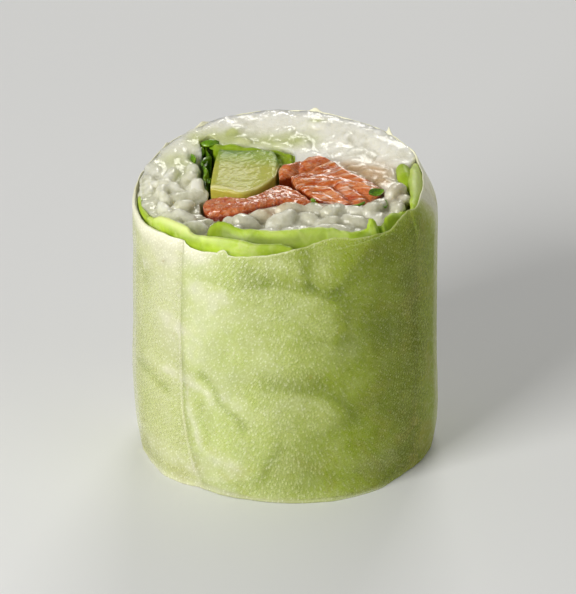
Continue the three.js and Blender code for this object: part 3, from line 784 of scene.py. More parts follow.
def makeLettuce():
    finish = leafFinish("lettuceLeaf", 0)

    def thickEnd(degrees):
        return 0.4 * smooth((degrees + 180) / 16) * smooth((-156 - degrees) / 2)

    def outerHollowShade(degrees, z):
        # painted shade just under its upper edge at the front, and near the top to the right, where it goes under
        # the inner leaf
        low = smooth((top + along(lettuce["outerTop"], degrees) - 0.4 - z) / 0.8)
        return 0.3 * low * bump(degrees, -88, 14) + 0.3 * smooth((degrees + 114) / 12) * smooth((z - top + 2) / 2)

    def innerHook(degrees, z):
        curl = 2.2 * past(1 - (degrees + 130) / 13) ** 2
        fold = 0.9 * past(1 - np.abs(degrees + 42.4) / 1.5) - 0.3 * past(1 - np.abs(degrees + 46) / 2.5)
        return nearRim(z) * (curl + fold)

    def innerHollowShade(degrees, z):
        # painted shade in the crease under its upper edge, and darker on the hook
        low = smooth((top + along(lettuce["innerTop"], degrees) - 0.25 - z) / 0.5)
        return 0.75 * low * bump(degrees, -100, 24) + 0.3 * bump(degrees, -122, 8) * smooth((z - top + 3) / 2)

    outer = wallLeaf(lettuce["outerSpan"], lettuce["outerTop"], outerDepth, 0.4, extra=thickEnd)
    inner = wallLeaf(lettuce["innerSpan"], lettuce["innerTop"], innerDepth, 0.9, innerHook)
    makeLeaf("outerLettuce", "lettuce_outer", outer, finish, lettuce["outerGlow"], outerHollowShade)
    makeLeaf("innerLettuce", "lettuce_inner", inner, finish, lettuce["innerGlow"], innerHollowShade)


def makeRib():
    def sideBand(u, v, side):
        degrees = mix(*lettuce["ribSpan"], u)
        angle = np.radians(degrees)
        arc = roll["wall"] * angle
        edge = top + along(lettuce["ribTop"], degrees) + 0.05 * cloud(arc, 0 * arc, 0 * arc, 0.9, 2)
        z = mix(lettuce["foot"], edge, mix(v, smooth(v), 0.4))
        thick = along(lettuce["ribThick"], degrees) + 0.08 * cloud(arc, z, 0 * z, 1.4, 6)
        r = skin(angle, z) - paper["thick"] - 0.12 * (1 - nearRim(z) ** 4) - 0.1 * folds(angle, z) - side * thick
        return r * np.cos(angle), r * np.sin(angle), z

    def curledTip(s, t, h):
        # a lobe that lies over the rib's end and narrows towards the front
        tip = lettuce["tip"]
        p = np.stack([s, t, h], -1) * 2 - 1
        p = p / np.maximum(np.linalg.norm(p, axis=-1, keepdims=True), 1e-9)
        lean = math.radians(tip["lean"])
        x, y = p[..., 0] * mix(0.5, 1.5, smooth((p[..., 1] + 1) / 1.2)), p[..., 1] * tip["half"][0]
        z = p[..., 2] * tip["half"][1] - 0.2 * x**2 + 0.12 * y
        px = x * math.cos(lean) - y * math.sin(lean) + tip["at"][0]
        py = y * math.cos(lean) + x * math.sin(lean) + tip["at"][1]
        return px, py, z + top - tip["below"]

    across, up = 80, 60
    band, bandFaces, _ = sheetArrays(across, up, sideBand, 0.3)
    tip, tipFaces, _ = blockArrays(14, 20, 10, curledTip)
    points, faces = gather([(band, bandFaces), (tip, tipFaces)])
    # the side against the paper and the upper edge are paler than the inner side
    layer = np.arange(len(band)) // ((across + 1) * (up + 1))
    pale = 0.3 + 0.5 * np.array([1.0, 0.0, 0.6])[layer]
    degrees = np.degrees(np.arctan2(band[:, 1], band[:, 0]))
    glow = pale * smooth((band[:, 2] - top + 3) / 3) * smooth((degrees + 20) / 14)
    fields = {
        "shade": np.concatenate([0.5 * leafShade(band), 0 * tip[:, 2] + 0.28]),
        "bright": np.concatenate([glow, 0 * tip[:, 2]]),
    }
    dress(makeMesh("sideRib", points, faces, leafFinish("lettuceRib", 0.2), **fields), "lettuce", "lettuce_side")


def stripCrown(s, t):
    # the thin strip comes up out of the rice at its left end
    slope = mix(0.8, 0.1, smooth(1.6 * s)) * t
    return -1.25 + slope + 0.95 * smooth(2.2 * s) + 0.06 * np.sin(11 * s) - 0.12 * smooth((s - 0.62) / 0.3)


# fillings, each between a front and a back edge in plan
fillings = {
    "avocado": {
        "front": [(-10.6, -1.0), (-8.2, -1.7), (-6.0, -2.4), (-3.3, -0.4), (-1.3, 2.2)],
        "back": [(-9.4, 11.6), (-5.6, 11.2), (-1.8, 10.8), (-0.6, 7.6)],
        "crown": lambda s, t: 0.25 - 0.2 * t * t + 0.1 * np.sin(7 * s + 3 * t),
        "cells": (94, 112, 16),
        "round": 0.03,
        "edge": 0.12,
    },
    "salmon_strip": {
        "front": [(-11.6, -5.5), (-7.3, -5.9), (-3.4, -4.5), (0.2, -3.5), (3.9, -4.1)],
        "back": [(-11.5, -2.0), (-8.4, -2.5), (-6.0, -3.1), (-3.3, -1.2), (-0.7, 1.5), (4.3, -2.9)],
        "crown": stripCrown,
        "cells": (160, 48, 16),
        "round": 0.08,
        "edge": 0.45,
    },
    "salmon_chunk": {
        "front": [(0.6, 1.9), (2.3, -0.8), (4.6, -2.6), (8.4, -4.0), (11.1, -3.6), (12.6, -2.3)],
        "back": [(1.4, 3.0), (4.0, 4.3), (7.0, 6.0), (9.4, 4.3), (12.2, 2.2), (14.2, -0.9)],
        "crown": lambda s, t: -0.1 + 0.75 * smooth(t * 1.6) - 0.5 * s * s + 0.15 * np.sin(8 * s + 5 * t),
        "cells": (150, 112, 16),
        "round": 0.1,
        "edge": 0.3,
    },
    "salmon_fold": {
        "front": [(-0.95, 2.5), (1.2, 3.8), (3.7, 5.1), (6.2, 6.6)],
        "back": [(-0.6, 6.5), (1.6, 6.9), (3.3, 8.9), (5.4, 9.0), (7.1, 7.4)],
        "crown": lambda s, t: 0.1 + 0.4 * np.sin(3.1 * t) - 0.35 * bump(s, 0.42, 0.07),
        "cells": (110, 60, 16),
        "round": 0.06,
        "edge": 0.35,
    },
}


def filling(piece, relief):
    frontCurve, backCurve = planCurve(piece["front"]), planCurve(piece["back"])

    def place(s, t, h):
        a = mix(s, 0.5, piece["round"] * (2 * t - 1) ** 2)
        b = mix(t, 0.5, piece["round"] * (2 * s - 1) ** 2)
        near, far = frontCurve(a), backCurve(a)
        across = (far - near) / np.linalg.norm(far - near, axis=-1, keepdims=True)
        point = mix(near, far, b[..., None])
        edge = np.maximum(np.abs(2 * s - 1), np.abs(2 * t - 1))
        level = 1 - (1 - h) ** 1.7
        x, y = point[..., 0], point[..., 1]
        rounded = piece["edge"] * smooth((edge - 0.8) / 0.2) ** 2
        z = level * (top + piece["crown"](s, t) - rounded + relief(s, t, x, y))
        # the walls swell and dimple a little, and draw in at the upper edge
        wall = 0.1 * cloud(x, y, z, 2.6, 3) + 0.04 * cloud(x, y, z, 0.9, 5)
        wall = wall - 0.5 * piece["edge"] * smooth((level - 0.98) / 0.02)
        sway = 0.12 * np.sin(0.5 * z + 4 * s) * (2 * t - 1)
        dx, dy = drift(z)
        x = x + dx + across[..., 0] * (sway + wall * (2 * t - 1))
        y = y + dy + across[..., 1] * (sway + wall * (2 * t - 1))
        return x, y, z
    return place


avocado = {
    # from the front of its cut to the peel side
    "tones": [
        (0.0, linear(190, 180, 82)), (0.1, linear(177, 178, 62)), (0.5, linear(177, 178, 62)),
        (0.86, linear(142, 166, 24)), (1.0, linear(94, 134, 4)),
    ],
    # painted highlight along the knife's drag marks
    "drag": linear(224, 220, 150),
    # painted highlight along the cut's upper edges
    "lip": linear(232, 228, 176),
    "wall": linear(182, 168, 62),
    "grain": 0.05,  # how deep the knife's fine drag marks are
    "surface": {"Roughness": 0.4, "IOR": 1.42, "Subsurface Weight": 0.35, "Subsurface Radius": (1.0, 0.8, 0.3),
                "Subsurface Scale": 0.0012, "Specular IOR Level": 0.4, "Coat Weight": 0.2, "Coat Roughness": 0.06},
}


def avocadoRelief(s, t, x, y):
    drag = cloud(x * 0.7 + y * 0.4, y * 1.6 - x * 0.5, 0 * x, 1.1, 2) * avocado["grain"]
    drag = drag + 0.03 * cloud(x, y * 1.5 - 0.5 * x, 0 * x, 0.45, 4)
    lip = 0.12 * bump(t, 0.04 + 0.025 * np.sin(9 * s + 0.8), 0.03)
    return drag + lip - 0.25 * bump(s, 1, 0.05) * smooth((t - 0.5) / 0.3)


def avocadoFinish():
    made = Finish("avocadoFlesh", avocado["surface"])
    back = made.field("back")
    wander = made.plus(back, made.sway(made.noise(3.2, 3), 0.35))
    colour = made.ramp(wander, *avocado["tones"])
    slant = made.add("Mapping", {"Vector": made.place}, {"Rotation": (0, 0, 0.45)}).outputs[0]
    drags = made.noise(0.5, 4, 0.65, 0.3, vector=slant, stretch=(0.55, 1.25, 1))
    # painted highlight along the drag marks
    colour = made.blend(made.step(drags, 0.5, 0.78, 0, 0.3), colour, avocado["drag"])
    # painted highlight on the lip, then the front wall's colour
    for field in ("lip", "wall"):
        colour = made.blend(made.field(field), colour, avocado[field])
    made.use("Base Color", colour)
    made.use("Roughness", made.step(drags, 0.35, 0.7, 0.36, 0.56))
    made.relief((made.noise(0.32, 2, 0.6, vector=slant, stretch=(0.6, 1.3, 1)), 0.12), (drags, 0.05))
    return made.material


def makeAvocado():
    piece = fillings["avocado"]
    points, faces, (s, t, h) = blockArrays(*piece["cells"], filling(piece, avocadoRelief))
    wall = smooth((0.985 - h) / 0.02) * smooth((0.3 - t) / 0.2) * 0.75
    # painted highlight along the front and right upper edges of the cut
    ragged = 0.012 * cloud(points[:, 0], 0 * s, 0 * s, 0.7, 4)
    lip = 0.8 * bump(t, 0.035 + ragged, 0.02) + 0.6 * bump(s, 0.985 + ragged, 0.012)
    lip = np.clip(lip, 0, 0.8) * (h > 0.985)
    made = makeMesh("avocadoBaton", points, faces, avocadoFinish(), back=t, wall=wall, lip=lip)
    dress(made, "avocado", "avocado")


salmon = {
    "flesh": linear(208, 106, 26),
    "deep": linear(180, 62, 6),
    # painted shadow colour for the walls
    "dusk": linear(130, 38, 0),
    "pale": linear(234, 160, 104),
    # the colour of fat streaks, partly standing for a painted wet glint
    "fatAndGlint": linear(248, 228, 212),
    "ridge": 0.16,  # how high the flakes stand
    # for each piece: how its streaks stretch, its share of fat and painted glint, how deep its fine relief is and
    # how dusky it is
    "strip": ((1.0, 1.6, 1.0), 0.25, 0.6, 0.3),
    "chunk": ((0.22, 1.4, 1.0), 0.6, 0.7, 0.0),
    "lobes": ((0.6, 1.6, 1.0), 0.24, 0.4, 0.12),
    "chunkCentre": (-5.0, -1.0),  # its streaks run out from here
    "surface": {"Roughness": 0.28, "IOR": 1.42, "Subsurface Weight": 0.35, "Subsurface Radius": (0.8, 0.4, 0.2),
                "Subsurface Scale": 0.001, "Coat Weight": 1.0, "Coat Roughness": 0.05},
}


# crests and creases of the large piece, as width, height and then x and y
chunkLines = [
    (0.75, 0.45, (0.6, 0.9), (3.5, 2.9), (6.8, 6.0)),
    (0.7, 0.3, (6.8, 6.0), (8.7, 3.5), (11.0, 1.8), (13.4, -1.2)),
    (0.5, 0.3, (0.6, -0.2), (4.3, 1.4), (6.4, 1.0)),
    (0.6, 0.4, (1.2, -0.8), (4.3, -0.3), (6.4, -0.8), (8.2, -3.0), (9.4, -4.4)),
    (0.6, 0.35, (8.0, 0.6), (11.0, 0.2), (12.2, -1.4)),
    (0.5, 0.25, (2.6, -1.6), (5.2, -1.9), (6.8, -3.2)),
    (0.5, -0.4, (6.9, 0.3), (8.6, -2.0), (9.9, -4.6)),
    (0.45, -0.35, (1.2, 0.2), (4.0, 0.6), (7.0, 0.2)),
    (0.4, -0.2, (2.0, 2.6), (5.2, 3.2), (8.2, 2.0), (10.6, 1.0)),
    (0.4, -0.3, (9.8, -0.6), (11.6, -2.6)),
]


def stripRelief(s, t, x, y):
    pits = 0.09 * cloud(x * 1.3, y * 1.9, 0 * x, 0.9, 6) + 0.05 * cloud(x, y * 1.3, 0 * x, 0.42, 7)
    return pits + 0.04 * np.sin(7 * t + 3 * s) - 0.5 * past(0.24 - t)


def chunkRelief(s, t, x, y):
    # muscle flakes run out from the left end
    angle, away = np.arctan2(y + 1.0, x + 4.0), np.hypot(x + 4.0, y + 1.0)
    wave = cloud(x, y, 0 * x, 2.4, 4)
    flakes = np.abs(np.sin(10.0 * angle + 0.9 * wave + 0.12 * away))
    streaks = cloud(0.35 * away, 11 * angle + 0.8 * wave, 0 * x, 0.5, 8)
    lines = strokes(chunkLines, x + 0.25 * wave, y)
    flesh = lines - salmon["ridge"] * (1 - flakes) ** 2 + 0.12 * streaks
    return flesh + 0.03 * cloud(x, y, 0 * x, 0.6, 3) - 0.15


def foldRelief(s, t, x, y):
    lobes = 0.45 * bump(s, 0.2, 0.2) * np.sin(math.pi * t) + 0.5 * bump(s, 0.72, 0.24) * np.sin(math.pi * t)
    pleats = 0.1 * np.abs(np.sin(9 * s + 4 * t))
    return lobes - pleats + 0.06 * cloud(x, y, 0 * x, 0.6, 3)


def salmonFinish(name, streaky, fatAndGlintShare, rough, dusk):
    made = Finish(name, salmon["surface"])
    flow = made.add("CombineXYZ", {"X": made.field("flow"), "Y": made.field("across")}).outputs[0]
    grain = made.noise(1.1, 4, 0.62, 0.3, vector=flow, stretch=streaky)
    colour = made.ramp(grain, (0.3, salmon["deep"]), (0.45, salmon["flesh"]), (0.66, salmon["pale"]))
    colour = made.blend(dusk, colour, salmon["deep"])
    # pale streaks of fat, partly a painted wet glint
    fatAndGlint = made.step(made.noise(0.65, 4, 0.65, 0.4, vector=flow, stretch=streaky), 0.52, 0.61)
    colour = made.blend(made.times(fatAndGlint, fatAndGlintShare), colour, salmon["fatAndGlint"])
    # painted shade in the grooves
    colour = made.blend(made.times(made.field("grooveShade"), 0.55), colour, salmon["deep"])
    # painted shadow down the walls
    colour = made.blend(made.field("wall"), colour, salmon["dusk"])
    made.use("Base Color", colour)
    made.use("Roughness", made.step(made.noise(0.8, 3), 0.35, 0.7, 0.2, 0.42))
    fine = made.noise(0.32, 2, 0.6, vector=flow, stretch=streaky)
    coarse = made.noise(0.75, 3, 0.6, vector=flow, stretch=streaky)
    made.relief((fine, 0.4 * rough), (coarse, rough))
    return made.material


def makeSalmon(name, node, relief, finish, centre=None):
    piece = fillings[node]
    points, faces, (s, t, h) = blockArrays(*piece["cells"], filling(piece, relief))
    x, y = points[:, 0], points[:, 1]
    lift = relief(s, t, x, y)
    # painted shade in the grooves between the flakes
    grooveShade = np.clip(0.1 - lift * 1.2, 0, 1) * (h > 0.9)
    # a painted shadow down the walls
    wall = smooth((0.99 - h) / 0.02) * 0.95
    # the flesh runs along x, or out from a point
    flow, across = x, y
    if centre:
        dx, dy = x - centre[0], y - centre[1]
        flow, across = np.hypot(dx, dy), 9 * np.arctan2(dy, dx)
    across = across + 0.4 * points[:, 2]
    fields = {"grooveShade": grooveShade, "wall": wall, "flow": flow * 0.001, "across": across * 0.001}
    dress(makeMesh(name, points, faces, finish, **fields), "salmon", node)


# the leaf behind the avocado and the herb beside it
ribbons = {
    "lettuce_back": [(-9.9, 12.6), (-7.6, 12.5), (-4.6, 12.1), (-1.4, 11.7), (0.7, 10.4), (0.8, 8.5)],
    "herb_sprig": [
        (-10.3, 14.7), (-11.3, 13.4), (-10.8, 11.2), (-11.7, 9.2), (-11.0, 7.0), (-11.2, 4.6), (-11.1, 1.6),
    ],
}


def ribbon(path, thick, topLine, crinkle):
    curve = planCurve(path)

    def place(u, v, side):
        point = curve(u)
        ahead = curve(np.minimum(1, u + 0.01)) - curve(np.maximum(0, u - 0.01))
        ahead = ahead / np.linalg.norm(ahead, axis=-1, keepdims=True)
        z = mix(0.3, top + topLine(u), v)
        off = crinkle * np.sin(0.55 * z + 7 * u) + (0.5 - side) * thick + 0.1 * cloud(3 * u, z, 0 * u, 1.0, 5)
        dx, dy = drift(z)
        return point[..., 0] + ahead[..., 1] * off + dx, point[..., 1] - ahead[..., 0] * off + dy, z
    return place


def makeBackLeaf():
    def topLine(u):
        return -0.3 - 0.5 * u + 0.15 * np.sin(9 * u) + 0.12 * np.sin(31 * u + 1)

    def tuckedEnd(u, v, side):
        # its crumpled end, low beside the avocado
        x, y = mix(-1.3, 1.5, u), mix(7.9, 10.6, v)
        z = top - 0.7 + 0.45 * cloud(x, y, 0 * x, 1.3, 3) + 0.2 * cloud(x, y, 0 * x, 0.6, 4) - side * 0.5
        return x, y, z

    leaf, leafFaces, _ = sheetArrays(120, 60, ribbon(ribbons["lettuce_back"], 0.9, topLine, 0.1), 0.3)
    end, endFaces, _ = sheetArrays(24, 24, tuckedEnd, 0.2)
    shade = np.concatenate([0.25 + 0.3 * smooth((leaf[:, 0] + 3) / 4), 0 * end[:, 0] + 0.45])
    points, faces = gather([(leaf, leafFaces), (end, endFaces)])
    bright = 0 * points[:, 0]
    made = makeMesh("backLettuce", points, faces, leafFinish("darkLeaf", 0.6), shade=shade, bright=bright)
    dress(made, "dark_leaf", "lettuce_back")


herb = {
    "green": linear(96, 140, 18),
    "dark": linear(44, 74, 6),
    "light": linear(150, 186, 40),
    "surface": {"Roughness": 0.22, "IOR": 1.42, "Subsurface Weight": 0.12, "Subsurface Radius": (0.3, 0.6, 0.1),
                "Subsurface Scale": 0.001, "Coat Weight": 0.5, "Coat Roughness": 0.1},
    # x, y, height over the cut, length, width, yaw, pitch, roll
    "leaves": [
        (-10.6, 13.6, 0.15, 2.7, 1.5, 12, 0, 180), (-11.9, 12.0, -0.5, 2.4, 1.3, 70, 12, 200),
        (-9.6, 12.9, -0.5, 2.2, 1.1, -30, -10, 170), (-12.7, 9.6, -1.0, 2.4, 1.1, 95, 10, -50),
        (-11.6, 8.0, -0.9, 2.2, 0.9, 75, -15, 40), (-11.0, 5.4, -0.7, 2.6, 0.6, 92, 12, -60),
        (-10.9, 3.0, -0.9, 2.2, 0.6, 88, -14, 60),
    ],
    "strays": [
        (12.9, -2.9, 0.25, 2.4, 1.5, 30, -4, 14), (14.4, -5.4, -0.3, 1.6, 0.5, 80, 10, -30),
        (3.9, -5.0, 0.1, 2.2, 0.8, 84, -30, 35), (4.3, -6.2, -0.3, 1.6, 0.5, 70, 20, 10),
        (9.6, -5.6, -0.35, 3.6, 0.6, 10, 4, -30),
    ],
}


def turn(points, yaw, pitch, rollBy):
    for axis, angle in ((0, rollBy), (1, -pitch), (2, yaw)):
        c, s = math.cos(math.radians(angle)), math.sin(math.radians(angle))
        a, b = [(1, 2), (2, 0), (0, 1)][axis]
        points = points.copy()
        points[:, a], points[:, b] = points[:, a] * c - points[:, b] * s, points[:, a] * s + points[:, b] * c
    return points


def herbLeaf(x, y, lift, length, width, yaw, pitch, rollBy):
    # a cupped leaflet, pointed at its tip
    def place(u, v, side):
        lengthwise = u * 2 - 1
        half = width / 2 * np.sin(math.pi * np.clip(u, 0.02, 0.98)) ** 0.65 * (1 - 0.2 * lengthwise)
        across = (v * 2 - 1) * half
        cup = 0.55 * (v * 2 - 1) ** 2 * half + 0.45 * lengthwise**2 - 0.1 * bump(v, 0.5, 0.08)
        return lengthwise * length / 2, across, cup + (0.5 - side) * 0.22
    points, faces, _ = sheetArrays(16, 10, place, 0.06)
    return turn(points, yaw, pitch, rollBy) + (x, y, top + lift), faces


def herbFinish():
    made = Finish("herbLeaf", herb["surface"])
    colour = made.ramp(made.noise(1.5, 3), (0.3, herb["dark"]), (0.5, herb["green"]), (0.75, herb["light"]))
    made.use("Base Color", colour)
    made.relief((made.noise(0.5, 3), 0.15))
    return made.material


def makeHerb():
    finish = herbFinish()
    stalk = ribbon(ribbons["herb_sprig"], 0.5, lambda u: -1.0 - 0.3 * u + 0.25 * np.sin(17 * u), 0.12)
    sprig = [sheetArrays(110, 50, stalk, 0.3)[:2]] + [herbLeaf(*leaf) for leaf in herb["leaves"]]
    made = makeMesh("herbSprig", *gather(sprig), finish)
    dress(made, "herb", "herb_sprig")
    made = makeMesh("strayLeaflets", *gather([herbLeaf(*leaf) for leaf in herb["strays"]]), finish)
    dress(made, "herb")


# rice: a core and loose grains over its cut faces and its wall
rice = {
    "lining": [
        (-180, 1.9), (-160, 2.3), (-150, 2.7), (-126, 3.6), (-60, 3.8), (-24, 3.1), (10, 2.5), (22, 1.9),
        (30, 0.5), (90, 0.35), (158, 0.4), (170, 0.9),
    ],
    "rimRoom": [(-146, 0), (-134, 1.0), (-116, 1.2), (-104, 0), (-2, 0), (6, 1.3), (15, 1.4), (22, 0)],
    # how far it spreads out over the sheet's thin edge
    "spread": [
        (-180, 1.25), (-168, 0.9), (-158, 0.2), (-150, 0), (17, 0), (26, 0.9), (36, 0.33), (90, 0.33),
        (150, 0.33), (170, 0.62),
    ],
    "pocketCentre": (0.0, 2.0),
    "pocketGap": 0.15,
    "grainLength": 4.6,
    "grainWidth": 2.6,
    "voxel": 0.207,
    "bodyCoarser": 2.2,  # times that, below the cut
    "cutDepth": 6,  # how far the upper piece goes down
    "bodySunk": 4,  # how far under the cut the lower one ends
    "footGap": 1.2,  # and how far over the foot its core starts
    # how many tries there are for the scattered grains, and how far apart they stay
    "scatter": {"first": (7000, 2.0), "second": (3000, 2.5), "foot": (3000, 2.5), "wall": (5000, 3.0)},
    "wallSpan": (24, 186),  # degrees, where grains lie on the wall
    "seed": 5,
    "white": linear(243, 241, 231),
    # painted highlight on the grains' upper sides
    "crestHighlight": linear(243, 241, 231),
    "clear": linear(176, 174, 150),
    # painted shade in the gaps between the grains
    "gap": linear(156, 156, 116),
    "stain": linear(198, 158, 108),
    "leafStain": linear(178, 188, 98),
    "surface": {"Roughness": 0.34, "IOR": 1.4, "Subsurface Weight": 1.0, "Subsurface Radius": (1.0, 0.97, 0.86),
                "Subsurface Scale": 0.0026, "Coat Weight": 0.5, "Coat Roughness": 0.1},
    # grains laid one by one on the cut, as x, y, height over the cut, direction and size
    "placed": [
        (0.9, -6.5, -0.45, 14, 1.0), (4.4, -6.5, -0.7, -24, 0.95), (7.2, -7.0, -0.3, 38, 1.05),
        (9.9, -6.9, -0.75, -30, 0.95), (12.3, -6.5, -0.45, 48, 1.0), (13.9, -4.6, -0.55, 20, 0.8),
        (15.6, -2.1, 0.15, 66, 1.1), (17.0, -3.2, -0.6, 84, 0.8), (16.0, -5.6, -0.6, 88, 0.85),
        (9.8, -9.4, -0.9, -20, 0.95), (12.9, -8.7, -0.9, 54, 0.9), (6.2, -9.7, -0.75, 16, 0.95),
        (3.2, -8.9, -0.8, -34, 0.85), (-0.5, -9.7, -0.55, 28, 1.1), (-5.4, -9.6, -0.9, -12, 1.0),
        (-3.4, -7.2, -1.15, 18, 0.85), (-2.6, -12.3, -1.3, 24, 0.9), (1.4, -12.2, -1.1, -20, 0.95),
        (5.0, -12.0, -1.2, 30, 0.85), (8.2, -11.8, -1.2, -14, 0.95), (-7.6, -11.9, -1.4, 20, 0.9),
        (-12.7, -10.4, -1.3, 14, 0.95), (-14.4, -4.4, -0.9, 30, 0.85), (-17.4, -0.6, -0.7, 82, 0.75),
        (-16.0, 4.4, -0.6, 66, 0.85), (-12.9, 5.9, -0.4, 84, 0.8), (-14.9, -1.9, -0.8, 10, 0.75),
        (-12.3, 0.9, -0.7, 76, 0.85), (-16.7, -5.6, -1.2, -60, 0.85), (-13.9, -7.5, -1.2, -10, 0.95),
        (-11.6, -8.9, -1.7, 20, 0.9),
    ],
}


def riceEdge(angle, z):
    # how far out from the middle the rice goes
    wall = skin(angle, z) - around(rice["lining"], angle) - nearRim(z) * around(rice["rimRoom"], angle)
    return wall + nearRim(z) ** 5 * around(rice["spread"], angle)


def bankOf(x, y):
    # how far the rice climbs to the paper's rim, all round the back and the left
    angle = np.degrees(np.arctan2(y, x))
    away = np.hypot(x, y)
    back = smooth((away - 15.5) / 4.5) * smooth((angle - 12) / 25)
    left = smooth((away - 15.5) / 4) * smooth((-146 - angle) / 20)
    return np.clip(back + left, 0, 1)


def riceTop(x, y):
    # level in the middle, and up to the rim where it climbs
    angle = np.arctan2(y, x)
    level = top - 1.0 + 0.06 * y + 0.2 * smooth((y - 8) / 9) + 0.12 * np.sin(0.9 * x + 0.5 * y)
    # a hollow beside the herb
    level = level - 1.3 * spot(x, y, (-12.3, 10.2), 1.2)
    # and one in front of the thin strip of salmon
    level = level - 2.1 * bump(y + 7.0, 0, 0.9) * smooth((x + 12) / 2) * smooth((-4.5 - x) / 2)
    return mix(level, top + around(roll["rimRise"], angle) + 0.05, bankOf(x, y))


def outlineOf(piece):
    shares = np.linspace(0, 1, 60)
    return np.concatenate([planCurve(piece["front"])(shares), planCurve(piece["back"])(shares)[::-1]])


def stripOutline(path, thick):
    line = planCurve(path)(np.linspace(0, 1, 80))
    ahead = np.gradient(line, axis=0)
    ahead = ahead / np.linalg.norm(ahead, axis=1, keepdims=True)
    side = np.stack([ahead[:, 1], -ahead[:, 0]], 1) * thick / 2
    return np.concatenate([line + side, (line - side)[::-1]])


def pocketTable():
    # how far the fillings reach from the pocket's centre, for each degree
    reach = np.zeros(360)
    shapes = [outlineOf(p) for p in fillings.values()] + [stripOutline(p, 1.1) for p in ribbons.values()]
    for shape in shapes:
        ends = np.stack([shape, np.roll(shape, -1, 0)], 1)
        for part in np.linspace(0, 1, 160):
            p = mix(ends[:, 0], ends[:, 1], part) - rice["pocketCentre"]
            index = np.round(np.degrees(np.arctan2(p[:, 1], p[:, 0]))).astype(int) % 360
            np.maximum.at(reach, index, np.hypot(p[:, 0], p[:, 1]))
    # no rice in the narrow clefts between them
    for pick in (np.max, np.min):
        reach = pick([np.roll(reach, k) for k in range(-4, 5)], axis=0)
    return reach + rice["pocketGap"]


pocket = pocketTable()


def pocketReach(angle):
    turned = (np.degrees(angle) + 360) % 360
    low = np.floor(turned).astype(int)
    return mix(pocket[low % 360], pocket[(low + 1) % 360], turned - low)


def pocketRoom(x, y, z):
    dx, dy = drift(z)
    px, py = x - rice["pocketCentre"][0] - dx, y - rice["pocketCentre"][1] - dy
    return np.hypot(px, py) - pocketReach(np.arctan2(py, px))


def riceCore(low, high, sunk, up, spokes=240, over=16):
    # up the outer wall, in over the top, down the pocket and out under the foot
    angle = np.linspace(0, 2 * math.pi, spokes, endpoint=False)
    cx, cy = rice["pocketCentre"]

    def ring(share, level):
        z = mix(low, high, level) * np.ones(spokes)
        dx, dy = drift(z)
        reach = pocketReach(angle) + 0.2
        inner = np.stack([cx + dx + reach * np.cos(angle), cy + dy + reach * np.sin(angle)], 1)
        r = riceEdge(angle, z) - 0.1 + 0.1 * (level > 0.9)
        outer = np.stack([r * np.cos(angle), r * np.sin(angle)], 1)
        p = mix(inner, outer, share)
        height = z + (riceTop(p[:, 0], p[:, 1]) - top - sunk(p[:, 0], p[:, 1])) * level
        lumps = cloud(p[:, 0], p[:, 1], height, 2.1, 6)
        return np.stack([p[:, 0], p[:, 1], height + 0.25 * lumps * (level > 0.99)], 1)

    rows = [ring(1.0, k / up) for k in range(up)] + [ring(1 - k / over, 1.0) for k in range(over)]
    rows += [ring(0.0, 1 - k / up) for k in range(up)] + [ring(k / over, 0.0) for k in range(over)]
    count = len(rows)
    i, j = np.meshgrid(np.arange(spokes), np.arange(count))
    a, b = j * spokes + i, j * spokes + (i + 1) % spokes
    c, d = ((j + 1) % count) * spokes + (i + 1) % spokes, ((j + 1) % count) * spokes + i
    return np.concatenate(rows), np.stack([a.ravel(), b.ravel(), c.ravel(), d.ravel()], 1)


def grainShape(sides=12, rows=8):
    # a short plump grain along X, with a flatter belly
    points = [(-0.5, 0, 0)]
    for k in range(1, rows):
        t = -math.cos(math.pi * k / rows)
        r = (1 - abs(t) ** 2.5) ** 0.5
        for i in range(sides):
            a = 2 * math.pi * i / sides
            y, z = r * math.cos(a) / 2, r * math.sin(a) / 2
            points.append((t / 2, y, z * (0.86 if z < 0 else 1.0)))
    points.append((0.5, 0, 0))
    faces = [[0, 1 + (i + 1) % sides, 1 + i] for i in range(sides)]
    for k in range(rows - 2):
        for i in range(sides):
            a, b = 1 + k * sides + i, 1 + k * sides + (i + 1) % sides
            faces.append([a, b, b + sides, a + sides])
    last = len(points) - 1
    faces += [[last, last - sides + i, last - sides + (i + 1) % sides] for i in range(sides)]
    return np.array(points), faces


grainPoints, grainFaces = grainShape()


def grain(x, y, z, yaw, pitch, rollBy, size, draw):
    long, wide = rice["grainLength"] * size, rice["grainWidth"] * size
    p = grainPoints * (long, wide, wide * 0.92)
    p = p * (1 + 0.1 * (draw.random(3) - 0.5))
    p[:, 2] += (draw.random() - 0.5) * 0.09 * p[:, 0] ** 2
    p = turn(p, yaw, pitch, rollBy) + (x, y, z)
    return p + 0.16 * np.stack([cloud(*p.T, 1.7, k) for k in (1, 2, 3)], 1)


def spaced(draw, tries, gap, pick, taken=()):
    # darts that keep apart, also from the places taken
    kept = list(taken)
    for _ in range(tries):
        p = pick(draw)
        if p is not None and all((p[0] - q[0]) ** 2 + (p[1] - q[1]) ** 2 > gap**2 for q in kept):
            kept.append(p)
    return kept[len(taken):]


def fits(p, over=0.12):
    angle = np.arctan2(p[:, 1], p[:, 0])
    outside = np.hypot(p[:, 0], p[:, 1]) - riceEdge(angle, p[:, 2])
    return outside.max() < over and pocketRoom(*p.T).min() > -over


def inRice(draw):
    x, y = (draw.random(2) * 2 - 1) * 21
    z = riceTop(x, y)
    if riceEdge(math.atan2(y, x), z) - math.hypot(x, y) > 0.7 and pocketRoom(x, y, z) > 0.6:
        return x, y
    return None


